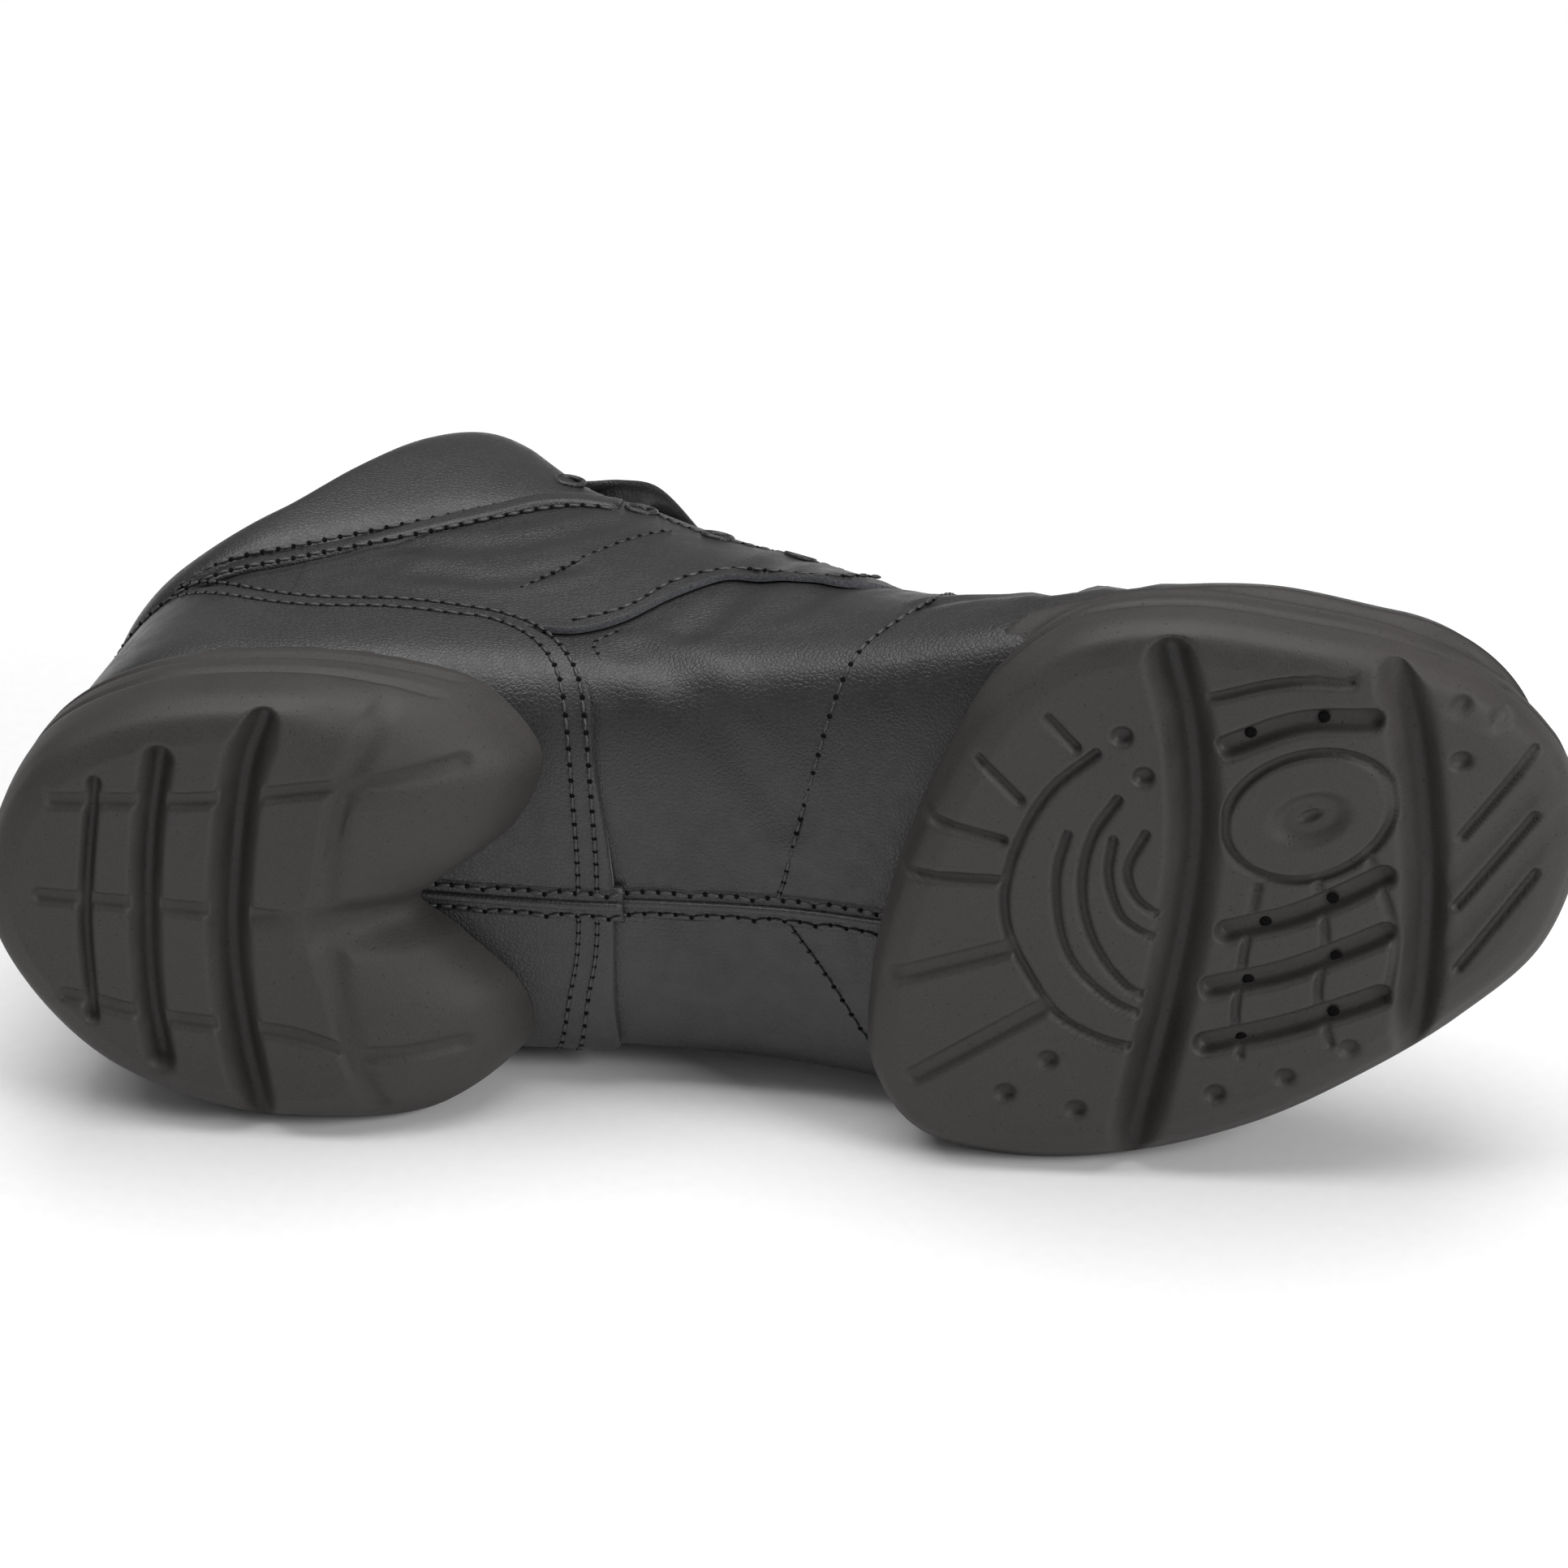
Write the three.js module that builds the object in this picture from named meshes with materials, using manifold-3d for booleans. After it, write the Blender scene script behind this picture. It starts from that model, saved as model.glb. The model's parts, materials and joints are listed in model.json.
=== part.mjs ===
// Left split-sole dance sneaker, lying on its lateral side as it rests when it is put down.
// It is modelled upright first: x runs from heel to toe, y to the lateral side, z up from the tread.
import * as THREE from "three";
import { mergeVertices } from "three/addons/utils/BufferGeometryUtils.js";
import Module from "manifold-3d";

const wasm = await Module();
wasm.setup();

// Driving sizes, in millimetres
const shoeLength = 252;
const ballWidth = 95;
const heelWidth = 78;
const collarHeight = 107;
const instepHeight = 96;
const waistHeight = 39;
const seatHeight = 20;
const heelRimHeight = 28;
const forefootRimHeight = 20.5;
const toeSpring = 8.5;
const toeSpringStart = 205;
const heelSetback = 4;
const toeSetback = 4;
const heelRoundness = 32;
const toeRoundness = 24;
const heelLean = 0.17;
const heelLeanStart = 28;
const heelLeanFade = 60;
const upperWall = 1.8;
const overlayThickness = 1.1;
const seamGap = 0.3;
const lastingMargin = 13;
const insoleThickness = 3.5;
const tongueThickness = 4;
const cuffBulge = 2.8;
const cuffMedialSwell = 3.2;
const cuffPadding = 6.5;
const laceDiameter = 3.4;
const laceClearance = 0.5;
const laceShift = 0.004;
const restingFlat = 0.45;

// Fineness of the facets
const stationCount = 31;
const ringCount = 28;
const cordSides = 6;
const laceSteps = 8;

// Sections of the last, outside the upper's leather, as shares of the named sizes: at of shoeLength,
// centre, half and skew of ballWidth, waist of waistHeight, bed of seatHeight, crown of instepHeight.
// Below and above the waist the section is a superellipse of power lower and upper.
const lastTable = [
  { at: 0.016, centre: 0.021, half: 0.353, waist: 0.92, bed: 1.0, crown: 1.27, skew: 0, lower: 5.0, upper: 6.0 },
  { at: 0.119, centre: 0.021, half: 0.361, waist: 0.95, bed: 1.0, crown: 1.27, skew: 0, lower: 5.0, upper: 6.0 },
  { at: 0.198, centre: 0.021, half: 0.368, waist: 0.97, bed: 1.0, crown: 1.27, skew: 0, lower: 4.8, upper: 6.0 },
  { at: 0.27, centre: 0.023, half: 0.37, waist: 1.0, bed: 0.965, crown: 1.24, skew: -0.01, lower: 4.6, upper: 5.0 },
  { at: 0.317, centre: 0.029, half: 0.369, waist: 1.0, bed: 0.925, crown: 1.2, skew: -0.03, lower: 4.2, upper: 3.8 },
  { at: 0.369, centre: 0.034, half: 0.37, waist: 0.97, bed: 0.89, crown: 1.12, skew: -0.045, lower: 3.9, upper: 2.9 },
  { at: 0.433, centre: 0.036, half: 0.378, waist: 0.9, bed: 0.875, crown: 1.0, skew: -0.05, lower: 3.6, upper: 2.35 },
  { at: 0.5, centre: 0.032, half: 0.392, waist: 0.79, bed: 0.8, crown: 0.89, skew: -0.045, lower: 3.3, upper: 2.05 },
  { at: 0.575, centre: 0.024, half: 0.417, waist: 0.67, bed: 0.63, crown: 0.755, skew: -0.035, lower: 3.3, upper: 1.85 },
  { at: 0.655, centre: 0.008, half: 0.447, waist: 0.58, bed: 0.5, crown: 0.61, skew: -0.025, lower: 3.4, upper: 1.8 },
  { at: 0.734, centre: -0.017, half: 0.46, waist: 0.54, bed: 0.475, crown: 0.51, skew: -0.015, lower: 3.5, upper: 1.85 },
  { at: 0.813, centre: -0.049, half: 0.434, waist: 0.535, bed: 0.5, crown: 0.443, skew: -0.005, lower: 3.5, upper: 2.0 },
  { at: 0.893, centre: -0.083, half: 0.35, waist: 0.55, bed: 0.61, crown: 0.393, skew: 0, lower: 3.2, upper: 2.2 },
  { at: 0.952, centre: -0.097, half: 0.31, waist: 0.57, bed: 0.75, crown: 0.352, skew: 0, lower: 3.0, upper: 2.3 },
  { at: 0.984, centre: -0.1, half: 0.284, waist: 0.58, bed: 0.85, crown: 0.323, skew: 0, lower: 3.0, upper: 2.4 },
];

// The opening seen from the side, as shares of shoeLength and collarHeight.
// top is the rim from the heel to the facing's corner and on down the throat, seam is the cuff's lower edge.
const rimTable = [
  { at: 0.0, top: 0.66, seam: 0.545 },
  { at: 0.09, top: 0.645, seam: 0.545 },
  { at: 0.143, top: 0.725, seam: 0.565 },
  { at: 0.19, top: 0.86, seam: 0.6 },
  { at: 0.23, top: 0.965, seam: 0.64 },
  { at: 0.262, top: 1.01, seam: 0.67 },
  { at: 0.294, top: 0.995, seam: 0.695 },
];
const throatTable = [
  { at: 0.294, edge: 0.995 },
  { at: 0.341, edge: 0.875 },
  { at: 0.369, edge: 0.835 },
  { at: 0.433, edge: 0.735 },
  { at: 0.476, edge: 0.7 },
  { at: 0.524, edge: 0.68 },
  { at: 0.575, edge: 0.655 },
  { at: 0.611, edge: 0.635 },
];

// Plan outlines of the two sole units, turning anticlockwise seen from above, as shares of length and width.
// The heel's starts at its back, the forefoot's at its toe.
const heelOutline = [
  { at: 0.002, across: 0.026 },
  { at: 0.012, across: -0.167 },
  { at: 0.048, across: -0.346 },
  { at: 0.111, across: -0.449 },
  { at: 0.19, across: -0.474 },
  { at: 0.266, across: -0.453 },
  { at: 0.333, across: -0.385 },
  { at: 0.369, across: -0.255 },
  { at: 0.349, across: -0.103 },
  { at: 0.305, across: 0.0 },
  { at: 0.28, across: 0.064 },
  { at: 0.306, across: 0.147 },
  { at: 0.342, across: 0.275 },
  { at: 0.343, across: 0.4 },
  { at: 0.305, across: 0.5 },
  { at: 0.222, across: 0.526 },
  { at: 0.143, across: 0.506 },
  { at: 0.067, across: 0.391 },
  { at: 0.02, across: 0.205 },
];
const forefootOutline = [
  { at: 1.0, across: -0.084 },
  { at: 0.976, across: 0.105 },
  { at: 0.925, across: 0.226 },
  { at: 0.861, across: 0.332 },
  { at: 0.794, across: 0.421 },
  { at: 0.718, across: 0.477 },
  { at: 0.643, across: 0.484 },
  { at: 0.583, across: 0.432 },
  { at: 0.558, across: 0.305 },
  { at: 0.562, across: 0.126 },
  { at: 0.581, across: -0.053 },
  { at: 0.611, across: -0.237 },
  { at: 0.647, across: -0.395 },
  { at: 0.698, across: -0.5 },
  { at: 0.762, across: -0.524 },
  { at: 0.833, across: -0.495 },
  { at: 0.897, across: -0.447 },
  { at: 0.952, across: -0.363 },
  { at: 0.99, across: -0.232 },
];

// Side steps of a sole unit, from tread to rim: rise is a share of the rim's height, inset in from the
// outline and ramp how far the heel unit's front end is drawn back, both in millimetres.
const heelSteps = [
  { rise: 0.0, inset: 5.6, ramp: 25 },
  { rise: 0.045, inset: 2.6, ramp: 21.5 },
  { rise: 0.15, inset: 0.7, ramp: 15.5 },
  { rise: 0.33, inset: 0.0, ramp: 8.5 },
  { rise: 0.56, inset: 0.3, ramp: 3.5 },
  { rise: 0.8, inset: 1.1, ramp: 0.8 },
  { rise: 1.0, inset: 3.4, ramp: 0.0 },
];
const forefootSteps = [
  { rise: 0.0, inset: 5.2, ramp: 0 },
  { rise: 0.045, inset: 2.4, ramp: 0 },
  { rise: 0.15, inset: 0.7, ramp: 0 },
  { rise: 0.34, inset: 0.0, ramp: 0 },
  { rise: 0.58, inset: 0.1, ramp: 0 },
  { rise: 0.8, inset: 1.0, ramp: 0 },
  { rise: 1.0, inset: 3.2, ramp: 0 },
];

// Main grooves of the treads, each through three places from the medial to the lateral side, in millimetres.
const heelGrooves = [
  { x1: 22, y1: -24, x2: 19, y2: -5, x3: 17.5, y3: 17, width: 2.3, depth: 1.6 },
  { x1: 32.5, y1: -28, x2: 29, y2: -3, x3: 27.5, y3: 25, width: 4.4, depth: 3.0 },
  { x1: 48.5, y1: -32, x2: 42, y2: -2, x3: 42.5, y3: 37, width: 5.4, depth: 3.6 },
];
const forefootGrooves = [
  { x1: 191.5, y1: -43, x2: 190.5, y2: -8, x3: 181, y3: 45, width: 6.4, depth: 4.4 },
  { x1: 224.5, y1: -41, x2: 229.5, y2: -10, x3: 223, y3: 27, width: 6.0, depth: 3.8 },
  { x1: 199, y1: -30.5, x2: 210, y2: -34, x3: 221, y3: -34, width: 4.2, depth: 2.4 },
  { x1: 198, y1: 2, x2: 210, y2: -1, x3: 222, y3: -7, width: 4.2, depth: 2.4 },
  { x1: 195.5, y1: 12, x2: 208, y2: 9, x3: 222, y3: 3, width: 4.2, depth: 2.4 },
  { x1: 194.5, y1: 22, x2: 207, y2: 19, x3: 221, y3: 14, width: 4.2, depth: 2.4 },
];
// Arcs of the forefoot's turning spot and its flex oval, in millimetres and degrees.
const arcGrooves = [
  { x: 188, y: -3, long: 24.5, short: 26, from: 100, to: 248, width: 1.7, depth: 0.9 },
  { x: 190, y: -3.5, long: 14, short: 18, from: 98, to: 250, width: 1.7, depth: 0.9 },
];
const flexOval = { x: 211, y: -17.5, long: 13.2, short: 10.4, turn: -24, width: 1.7, depth: 0.9 };
// Two grooves run along each unit's medial wall: rise above the tread as a share of the rim's height,
// from and to as shares of the way round the outline.
const wallGrooves = { width: 1.5, heelRises: [0.5, 0.72], forefootRises: [0.5, 0.74] };
const heelWallSpan = { from: 0.06, to: 0.35 };
const forefootWallSpan = { from: 0.64, to: 0.96 };

// Overlays seen from the side, as shares of shoeLength and collarHeight.
const counterEdge = [
  { at: -0.02, up: 0.53 },
  { at: 0.06, up: 0.53 },
  { at: 0.143, up: 0.455 },
  { at: 0.198, up: 0.42 },
  { at: 0.25, up: 0.41 },
  { at: 0.295, up: 0.39 },
  { at: 0.325, up: 0.36 },
  { at: 0.352, up: 0.31 },
  { at: 0.375, up: 0.25 },
  { at: 0.39, up: 0.19 },
  { at: 0.397, up: 0.1 },
];
const quarterEdge = [
  { at: 0.345, up: 0.335 },
  { at: 0.372, up: 0.33 },
  { at: 0.401, up: 0.365 },
  { at: 0.429, up: 0.43 },
  { at: 0.46, up: 0.48 },
  { at: 0.504, up: 0.47 },
  { at: 0.548, up: 0.41 },
  { at: 0.6, up: 0.37 },
];

// Sections of the tongue: at of shoeLength, heights of collarHeight, widths of ballWidth.
const tongueTable = [
  { at: 0.635, crown: 0.52, medial: -0.15, medialEdge: 0.475, lateral: 0.12, lateralEdge: 0.475 },
  { at: 0.595, crown: 0.585, medial: -0.165, medialEdge: 0.53, lateral: 0.135, lateralEdge: 0.53 },
  { at: 0.548, crown: 0.66, medial: -0.2, medialEdge: 0.59, lateral: 0.165, lateralEdge: 0.59 },
  { at: 0.5, crown: 0.735, medial: -0.24, medialEdge: 0.615, lateral: 0.205, lateralEdge: 0.62 },
  { at: 0.452, crown: 0.815, medial: -0.267, medialEdge: 0.64, lateral: 0.24, lateralEdge: 0.66 },
  { at: 0.417, crown: 0.885, medial: -0.27, medialEdge: 0.825, lateral: 0.245, lateralEdge: 0.72 },
  { at: 0.385, crown: 0.955, medial: -0.285, medialEdge: 0.925, lateral: 0.245, lateralEdge: 0.775 },
  { at: 0.357, crown: 0.995, medial: -0.28, medialEdge: 0.945, lateral: 0.245, lateralEdge: 0.82 },
  { at: 0.333, crown: 1.015, medial: -0.27, medialEdge: 0.91, lateral: 0.245, lateralEdge: 0.86 },
  { at: 0.305, crown: 1.05, medial: -0.26, medialEdge: 0.965, lateral: 0.24, lateralEdge: 0.94 },
  { at: 0.278, crown: 1.08, medial: -0.23, medialEdge: 1.02, lateral: 0.21, lateralEdge: 1.0 },
];

const laceRows = [0.55, 0.495, 0.44, 0.385, 0.332];
const eyeletSetback = 5;
const eyeletDiameter = 4.2;

// Joining and cutting
function solidFromGeometry(geometry) {
  const bare = geometry.clone();
  bare.deleteAttribute("normal");
  bare.deleteAttribute("uv");
  const merged = mergeVertices(bare, 1e-4);
  const vertProperties = new Float32Array(merged.attributes.position.array);
  const triVerts = new Uint32Array(merged.index.array);
  const solid = new wasm.Manifold(new wasm.Mesh({ numProp: 3, vertProperties, triVerts }));
  if (solid.volume() > 0) return solid;
  return new wasm.Manifold(new wasm.Mesh({ numProp: 3, vertProperties, triVerts: triVerts.reverse() }));
}

function joined(solids) {
  return solids.reduce((whole, solid) => whole.add(solid));
}

function cutBy(solid, cutters) {
  return cutters.reduce((rest, cutter) => rest.subtract(cutter), solid);
}

// A closed skin over rings of points, each ring with the same count, with a fan over both ends.
function skinOver(rings) {
  const count = rings[0].length;
  const places = rings.flat();
  const faces = [];
  for (let ring = 0; ring + 1 < rings.length; ring++) {
    for (let step = 0; step < count; step++) {
      const near = ring * count + step;
      const nearNext = ring * count + ((step + 1) % count);
      faces.push(near, nearNext, nearNext + count, near, nearNext + count, near + count);
    }
  }
  const sumOf = (ring) => ring.reduce((sum, place) => sum.add(place), new THREE.Vector3());
  const firstCentre = places.push(sumOf(rings[0]).divideScalar(count)) - 1;
  const lastCentre = places.push(sumOf(rings.at(-1)).divideScalar(count)) - 1;
  const lastRing = (rings.length - 1) * count;
  for (let step = 0; step < count; step++) {
    const next = (step + 1) % count;
    faces.push(firstCentre, next, step);
    faces.push(lastCentre, lastRing + step, lastRing + next);
  }
  const geometry = new THREE.BufferGeometry().setFromPoints(places);
  geometry.setIndex(faces);
  return geometry;
}

const shade = (value, low, high) => THREE.MathUtils.smoothstep(value, low, high);

// A smooth value of one named column at a share of the way along the table.
function column(table, name) {
  const shares = table.map((row) => row.at);
  const values = table.map((row) => row[name]);
  const curve = new THREE.CubicInterpolant(shares, values, 1);
  const first = shares[0];
  const last = shares.at(-1);
  return (at) => curve.evaluate(THREE.MathUtils.clamp(at, first, last))[0];
}

const lastColumns = Object.fromEntries(
  Object.keys(lastTable[0]).filter((name) => name !== "at").map((name) => [name, column(lastTable, name)]),
);
const rimTop = column(rimTable, "top");
const rimSeam = column(rimTable, "seam");

// The last, whose stations crowd together at the rounded heel and toe
const lastHeel = heelSetback;
const lastToe = shoeLength - toeSetback;

function endRounding(distance, roundness) {
  const reach = THREE.MathUtils.clamp(1 - distance / roundness, 0, 1);
  return Math.sqrt(1 - reach ** 2);
}

function sectionAt(x) {
  const at = x / shoeLength;
  const toeRound = endRounding(lastToe - x, toeRoundness);
  const rounding = Math.max(0.03, endRounding(x - lastHeel, heelRoundness) * toeRound);
  const flattening = 0.45 + 0.55 * toeRound;
  const waist = lastColumns.waist(at) * waistHeight;
  return {
    centre: lastColumns.centre(at) * ballWidth,
    half: lastColumns.half(at) * ballWidth * rounding,
    skew: lastColumns.skew(at) * ballWidth,
    waist,
    below: (waist - lastColumns.bed(at) * seatHeight) * flattening,
    above: (lastColumns.crown(at) * instepHeight - waist) * flattening,
    lower: lastColumns.lower(at),
    upper: lastColumns.upper(at),
  };
}

function leanForward(x, z) {
  return heelLean * Math.max(0, z - heelLeanStart) * (1 - shade(x, lastHeel, heelLeanFade));
}

function rounded(value, power) {
  return Math.sign(value) * Math.abs(value) ** (2 / power);
}

function lastSurface(share, angle) {
  const x = lastHeel + ((lastToe - lastHeel) * (1 - Math.cos(Math.PI * share))) / 2;
  const section = sectionAt(x);
  const sine = Math.sin(angle);
  const power = sine < 0 ? section.lower : section.upper;
  const rise = rounded(sine, power);
  const z = section.waist + rise * (sine < 0 ? section.below : section.above);
  const across = section.half * rounded(Math.cos(angle), power);
  const y = section.centre + across + section.skew * Math.max(0, rise);
  return new THREE.Vector3(x + leanForward(x, z), y, z);
}

// The last's surface moved out along its own normal, or in where the offset is negative.
function offsetLast(share, angle, offset) {
  const small = 0.004;
  const ahead = lastSurface(Math.min(share + small, 1), angle);
  const along = ahead.sub(lastSurface(Math.max(share - small, 0), angle));
  const round = lastSurface(share, angle + small * 6).sub(lastSurface(share, angle - small * 6));
  const normal = round.cross(along).normalize();
  return lastSurface(share, angle).addScaledVector(normal, offset);
}

function lastSolid(offset) {
  const endShare = 0.006;
  const rings = [];
  for (let station = 0; station <= stationCount; station++) {
    const share = endShare + ((1 - 2 * endShare) * station) / stationCount;
    const ring = [];
    for (let step = 0; step < ringCount; step++) {
      ring.push(offsetLast(share, (-2 * Math.PI * (step + 0.5)) / ringCount, offset));
    }
    rings.push(ring);
  }
  return solidFromGeometry(skinOver(rings));
}

// Side outlines drawn as shares, pushed through the whole width of the shoe
const broad = 2 * ballWidth;

function sideShape(rows) {
  return new THREE.Shape(rows.map((row) => new THREE.Vector2(row.at * shoeLength, row.up * collarHeight)));
}

function sideBlock(rows, from, to) {
  const block = new THREE.ExtrudeGeometry(sideShape(rows), { depth: to - from, bevelEnabled: false });
  block.rotateX(Math.PI / 2);
  block.translate(0, to, 0);
  return solidFromGeometry(block);
}

const skyShare = 1.4;
const groundShare = -0.2;

function steppedRows(table, name, count) {
  const value = column(table, name);
  const first = table[0].at;
  const last = table.at(-1).at;
  return Array.from({ length: count + 1 }, (_, step) => {
    const at = first + ((last - first) * step) / count;
    return { at, up: value(at) };
  });
}

const throatRows = steppedRows(throatTable, "edge", 10);
const rimRows = steppedRows(rimTable, "top", 10);
const seamRows = steppedRows(rimTable, "seam", 10);
const aboveRows = [
  { at: throatRows.at(-1).at, up: skyShare },
  { at: -0.05, up: skyShare },
];

function aboveThroat(lift) {
  const edge = [...rimRows, ...throatRows.slice(1)];
  const lifted = edge.map((row) => ({ at: row.at, up: row.up + lift / collarHeight }));
  return sideBlock([{ at: -0.05, up: lifted[0].up }, ...lifted, ...aboveRows], -broad, broad);
}

function aboveSeam(lift) {
  const lifted = seamRows.map((row) => ({ at: row.at, up: row.up + lift / collarHeight }));
  const front = { at: seamRows.at(-1).at, up: skyShare };
  const rows = [{ at: -0.05, up: lifted[0].up }, ...lifted, front, { at: -0.05, up: skyShare }];
  return sideBlock(rows, -broad, broad);
}

// Sole units
function treadHeight(x) {
  const past = Math.max(0, x - toeSpringStart) / (shoeLength - toeSpringStart);
  return toeSpring * past ** 2;
}

function outlineCurve(rows, width) {
  const places = rows.map((row) => new THREE.Vector3(row.at * shoeLength, row.across * width, 0));
  return new THREE.CatmullRomCurve3(places, true, "centripetal");
}

function outlineRing(curve, count, step, rimHeight, extra) {
  const ring = [];
  for (let turn = 0; turn < count; turn++) {
    ring.push(outlinePlace(curve, turn / count, step, rimHeight, extra));
  }
  return ring;
}

// A place on a unit's side: round the outline by a share, in by the step's inset, up by its rise.
function outlinePlace(curve, share, step, rimHeight, extra) {
  const place = curve.getPointAt(share % 1);
  const tangent = curve.getTangentAt(share % 1);
  const inward = step.inset - extra;
  place.x -= tangent.y * inward;
  place.y += tangent.x * inward;
  place.x -= step.ramp * shade(place.x, 0.16 * shoeLength, 0.36 * shoeLength);
  place.z = step.rise * rimHeight + treadHeight(place.x) * (1 - step.rise) - extra;
  return place;
}

function unitForm(unit, extra) {
  const rings = unit.steps.map((step) => outlineRing(unit.curve, unit.count, step, unit.rimHeight, extra));
  const lid = rings.at(-1).map((place) => place.clone().setZ(unit.rimHeight + extra));
  if (extra > 0) rings.push(lid);
  const tread = [0.35, 0.72].map((scale) =>
    rings[0].map((place) => {
      const moved = place.clone().sub(unit.centre).multiplyScalar(scale).add(unit.centre);
      moved.z = treadHeight(moved.x) - extra;
      return moved;
    }),
  );
  return solidFromGeometry(skinOver([...tread, ...rings]));
}

const heelUnit = {
  curve: outlineCurve(heelOutline, heelWidth),
  width: heelWidth,
  openingRamp: 12,
  steps: heelSteps,
  count: 46,
  rimHeight: heelRimHeight,
  centre: new THREE.Vector3(0.13 * shoeLength, 0.03 * heelWidth, 0),
};
const forefootUnit = {
  curve: outlineCurve(forefootOutline, ballWidth),
  width: ballWidth,
  openingRamp: 0,
  steps: forefootSteps,
  count: 50,
  rimHeight: forefootRimHeight,
  centre: new THREE.Vector3(0.77 * shoeLength, -0.03 * ballWidth, 0),
};

// A round-bottomed groove along a curve on the tread, with rounded ends
function grooveAlong(curve, steps, width, depth) {
  const radius = width / 2;
  const sunk = curve.getSpacedPoints(steps).map((place) => {
    return new THREE.Vector3(place.x, place.y, treadHeight(place.x) + depth - radius);
  });
  const path = new THREE.CatmullRomCurve3(sunk);
  const circle = new THREE.Shape().absarc(0, 0, radius, 0, 2 * Math.PI);
  const options = { steps, curveSegments: cordSides / 2, bevelEnabled: false, extrudePath: path };
  const groove = solidFromGeometry(new THREE.ExtrudeGeometry(circle, options));
  const ends = [sunk[0], sunk.at(-1)].map((place) => ballAt(place, 0.97 * radius));
  return joined([groove, ...ends]);
}

function ballAt(place, radius) {
  const ball = new THREE.SphereGeometry(radius, cordSides, 6);
  ball.translate(place.x, place.y, place.z);
  return solidFromGeometry(ball);
}

function straightGroove(row) {
  const start = new THREE.Vector3(row.x1, row.y1, 0);
  const middle = new THREE.Vector3(row.x2, row.y2, 0);
  const end = new THREE.Vector3(row.x3, row.y3, 0);
  const curve = new THREE.CatmullRomCurve3([start, middle, end]);
  return grooveAlong(curve, 5, row.width, row.depth);
}

function arcGroove(row) {
  const places = [];
  const steps = 8;
  for (let step = 0; step <= steps; step++) {
    const angle = THREE.MathUtils.degToRad(row.from + ((row.to - row.from) * step) / steps);
    const across = row.y + row.short * Math.sin(angle);
    places.push(new THREE.Vector3(row.x + row.long * Math.cos(angle), across, 0));
  }
  return grooveAlong(new THREE.CatmullRomCurve3(places), steps, row.width, row.depth);
}

function ovalGroove(row) {
  const ring = new THREE.TorusGeometry(row.long, row.width / 2, cordSides, 24);
  ring.scale(1, row.short / row.long, 1);
  ring.rotateZ(THREE.MathUtils.degToRad(row.turn));
  ring.translate(row.x, row.y, treadHeight(row.x) + row.depth - row.width / 2);
  return solidFromGeometry(ring);
}

function wallGroove(unit, span, rise) {
  const places = [];
  const steps = 10;
  for (let step = 0; step <= steps; step++) {
    const share = span.from + ((span.to - span.from) * step) / steps;
    const side = stepAt(unit.steps, rise);
    places.push(outlinePlace(unit.curve, share, side, unit.rimHeight, 0));
  }
  const curve = new THREE.CatmullRomCurve3(places);
  const circle = new THREE.Shape().absarc(0, 0, wallGrooves.width / 2, 0, 2 * Math.PI);
  const options = { steps, curveSegments: 2, bevelEnabled: false, extrudePath: curve };
  return solidFromGeometry(new THREE.ExtrudeGeometry(circle, options));
}

// The side step at a rise between two rows of the table.
function stepAt(steps, rise) {
  const above = steps.findIndex((step) => step.rise >= rise);
  const low = steps[above - 1];
  const high = steps[above];
  const share = (rise - low.rise) / (high.rise - low.rise);
  const mix = (name) => THREE.MathUtils.lerp(low[name], high[name], share);
  return { rise, inset: mix("inset"), ramp: mix("ramp") };
}

// The wall under the foot is cut away inside each unit, up to the lasting margin
function bedOpening(unit, top) {
  const scale = 1 - lastingMargin / (unit.width / 2);
  const foot = { rise: 0, inset: 0, ramp: unit.openingRamp };
  const ring = outlineRing(unit.curve, 32, foot, 0, 0);
  const level = (z) =>
    ring.map((place) => {
      const moved = place.clone().sub(unit.centre).multiplyScalar(scale).add(unit.centre);
      return new THREE.Vector3(moved.x, moved.y, z);
    });
  return solidFromGeometry(skinOver([level(0), level(top)]));
}

const outerLast = lastSolid(0);
const innerLast = lastSolid(-upperWall);
const clearedLast = lastSolid(seamGap);
const bedTop = (at) => lastColumns.bed(at) * seatHeight + upperWall + 1.5;

function makeUpper() {
  const openings = [bedOpening(heelUnit, bedTop(0.15)), bedOpening(forefootUnit, bedTop(0.88))];
  return cutBy(outerLast.subtract(innerLast), [aboveThroat(0), aboveSeam(-seamGap), ...openings]);
}

const overlaySkin = lastSolid(seamGap + overlayThickness).subtract(clearedLast);

function counterBlock(growth) {
  const rows = steppedRows(counterEdge, "up", 14).map((row) => ({
    at: row.at + growth / shoeLength,
    up: row.up + growth / collarHeight,
  }));
  const front = { at: rows.at(-1).at, up: groundShare };
  const behind = { at: -0.1, up: rows[0].up };
  const around = [{ at: -0.1, up: groundShare }, front, ...rows.reverse(), behind];
  return sideBlock(around, -broad, broad);
}

function makeCounter() {
  return overlaySkin.intersect(counterBlock(0)).subtract(unitForm(heelUnit, 2 * seamGap));
}

// A quarter panel covers one side from the throat down to its raw lower edge.
function makeQuarter(side) {
  const lower = steppedRows(quarterEdge, "up", 12);
  const rear = { at: 0.245, up: 0.3 };
  const front = { at: lower.at(-1).at, up: skyShare };
  const rows = [rear, ...lower, front, { at: rear.at, up: skyShare }];
  const block = side < 0 ? sideBlock(rows, -broad, -1) : sideBlock(rows, 3, broad);
  const panel = overlaySkin.intersect(block);
  return cutBy(panel, [aboveThroat(-1.5), aboveSeam(-2), counterBlock(seamGap), ...eyeletHoles(side)]);
}

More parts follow.
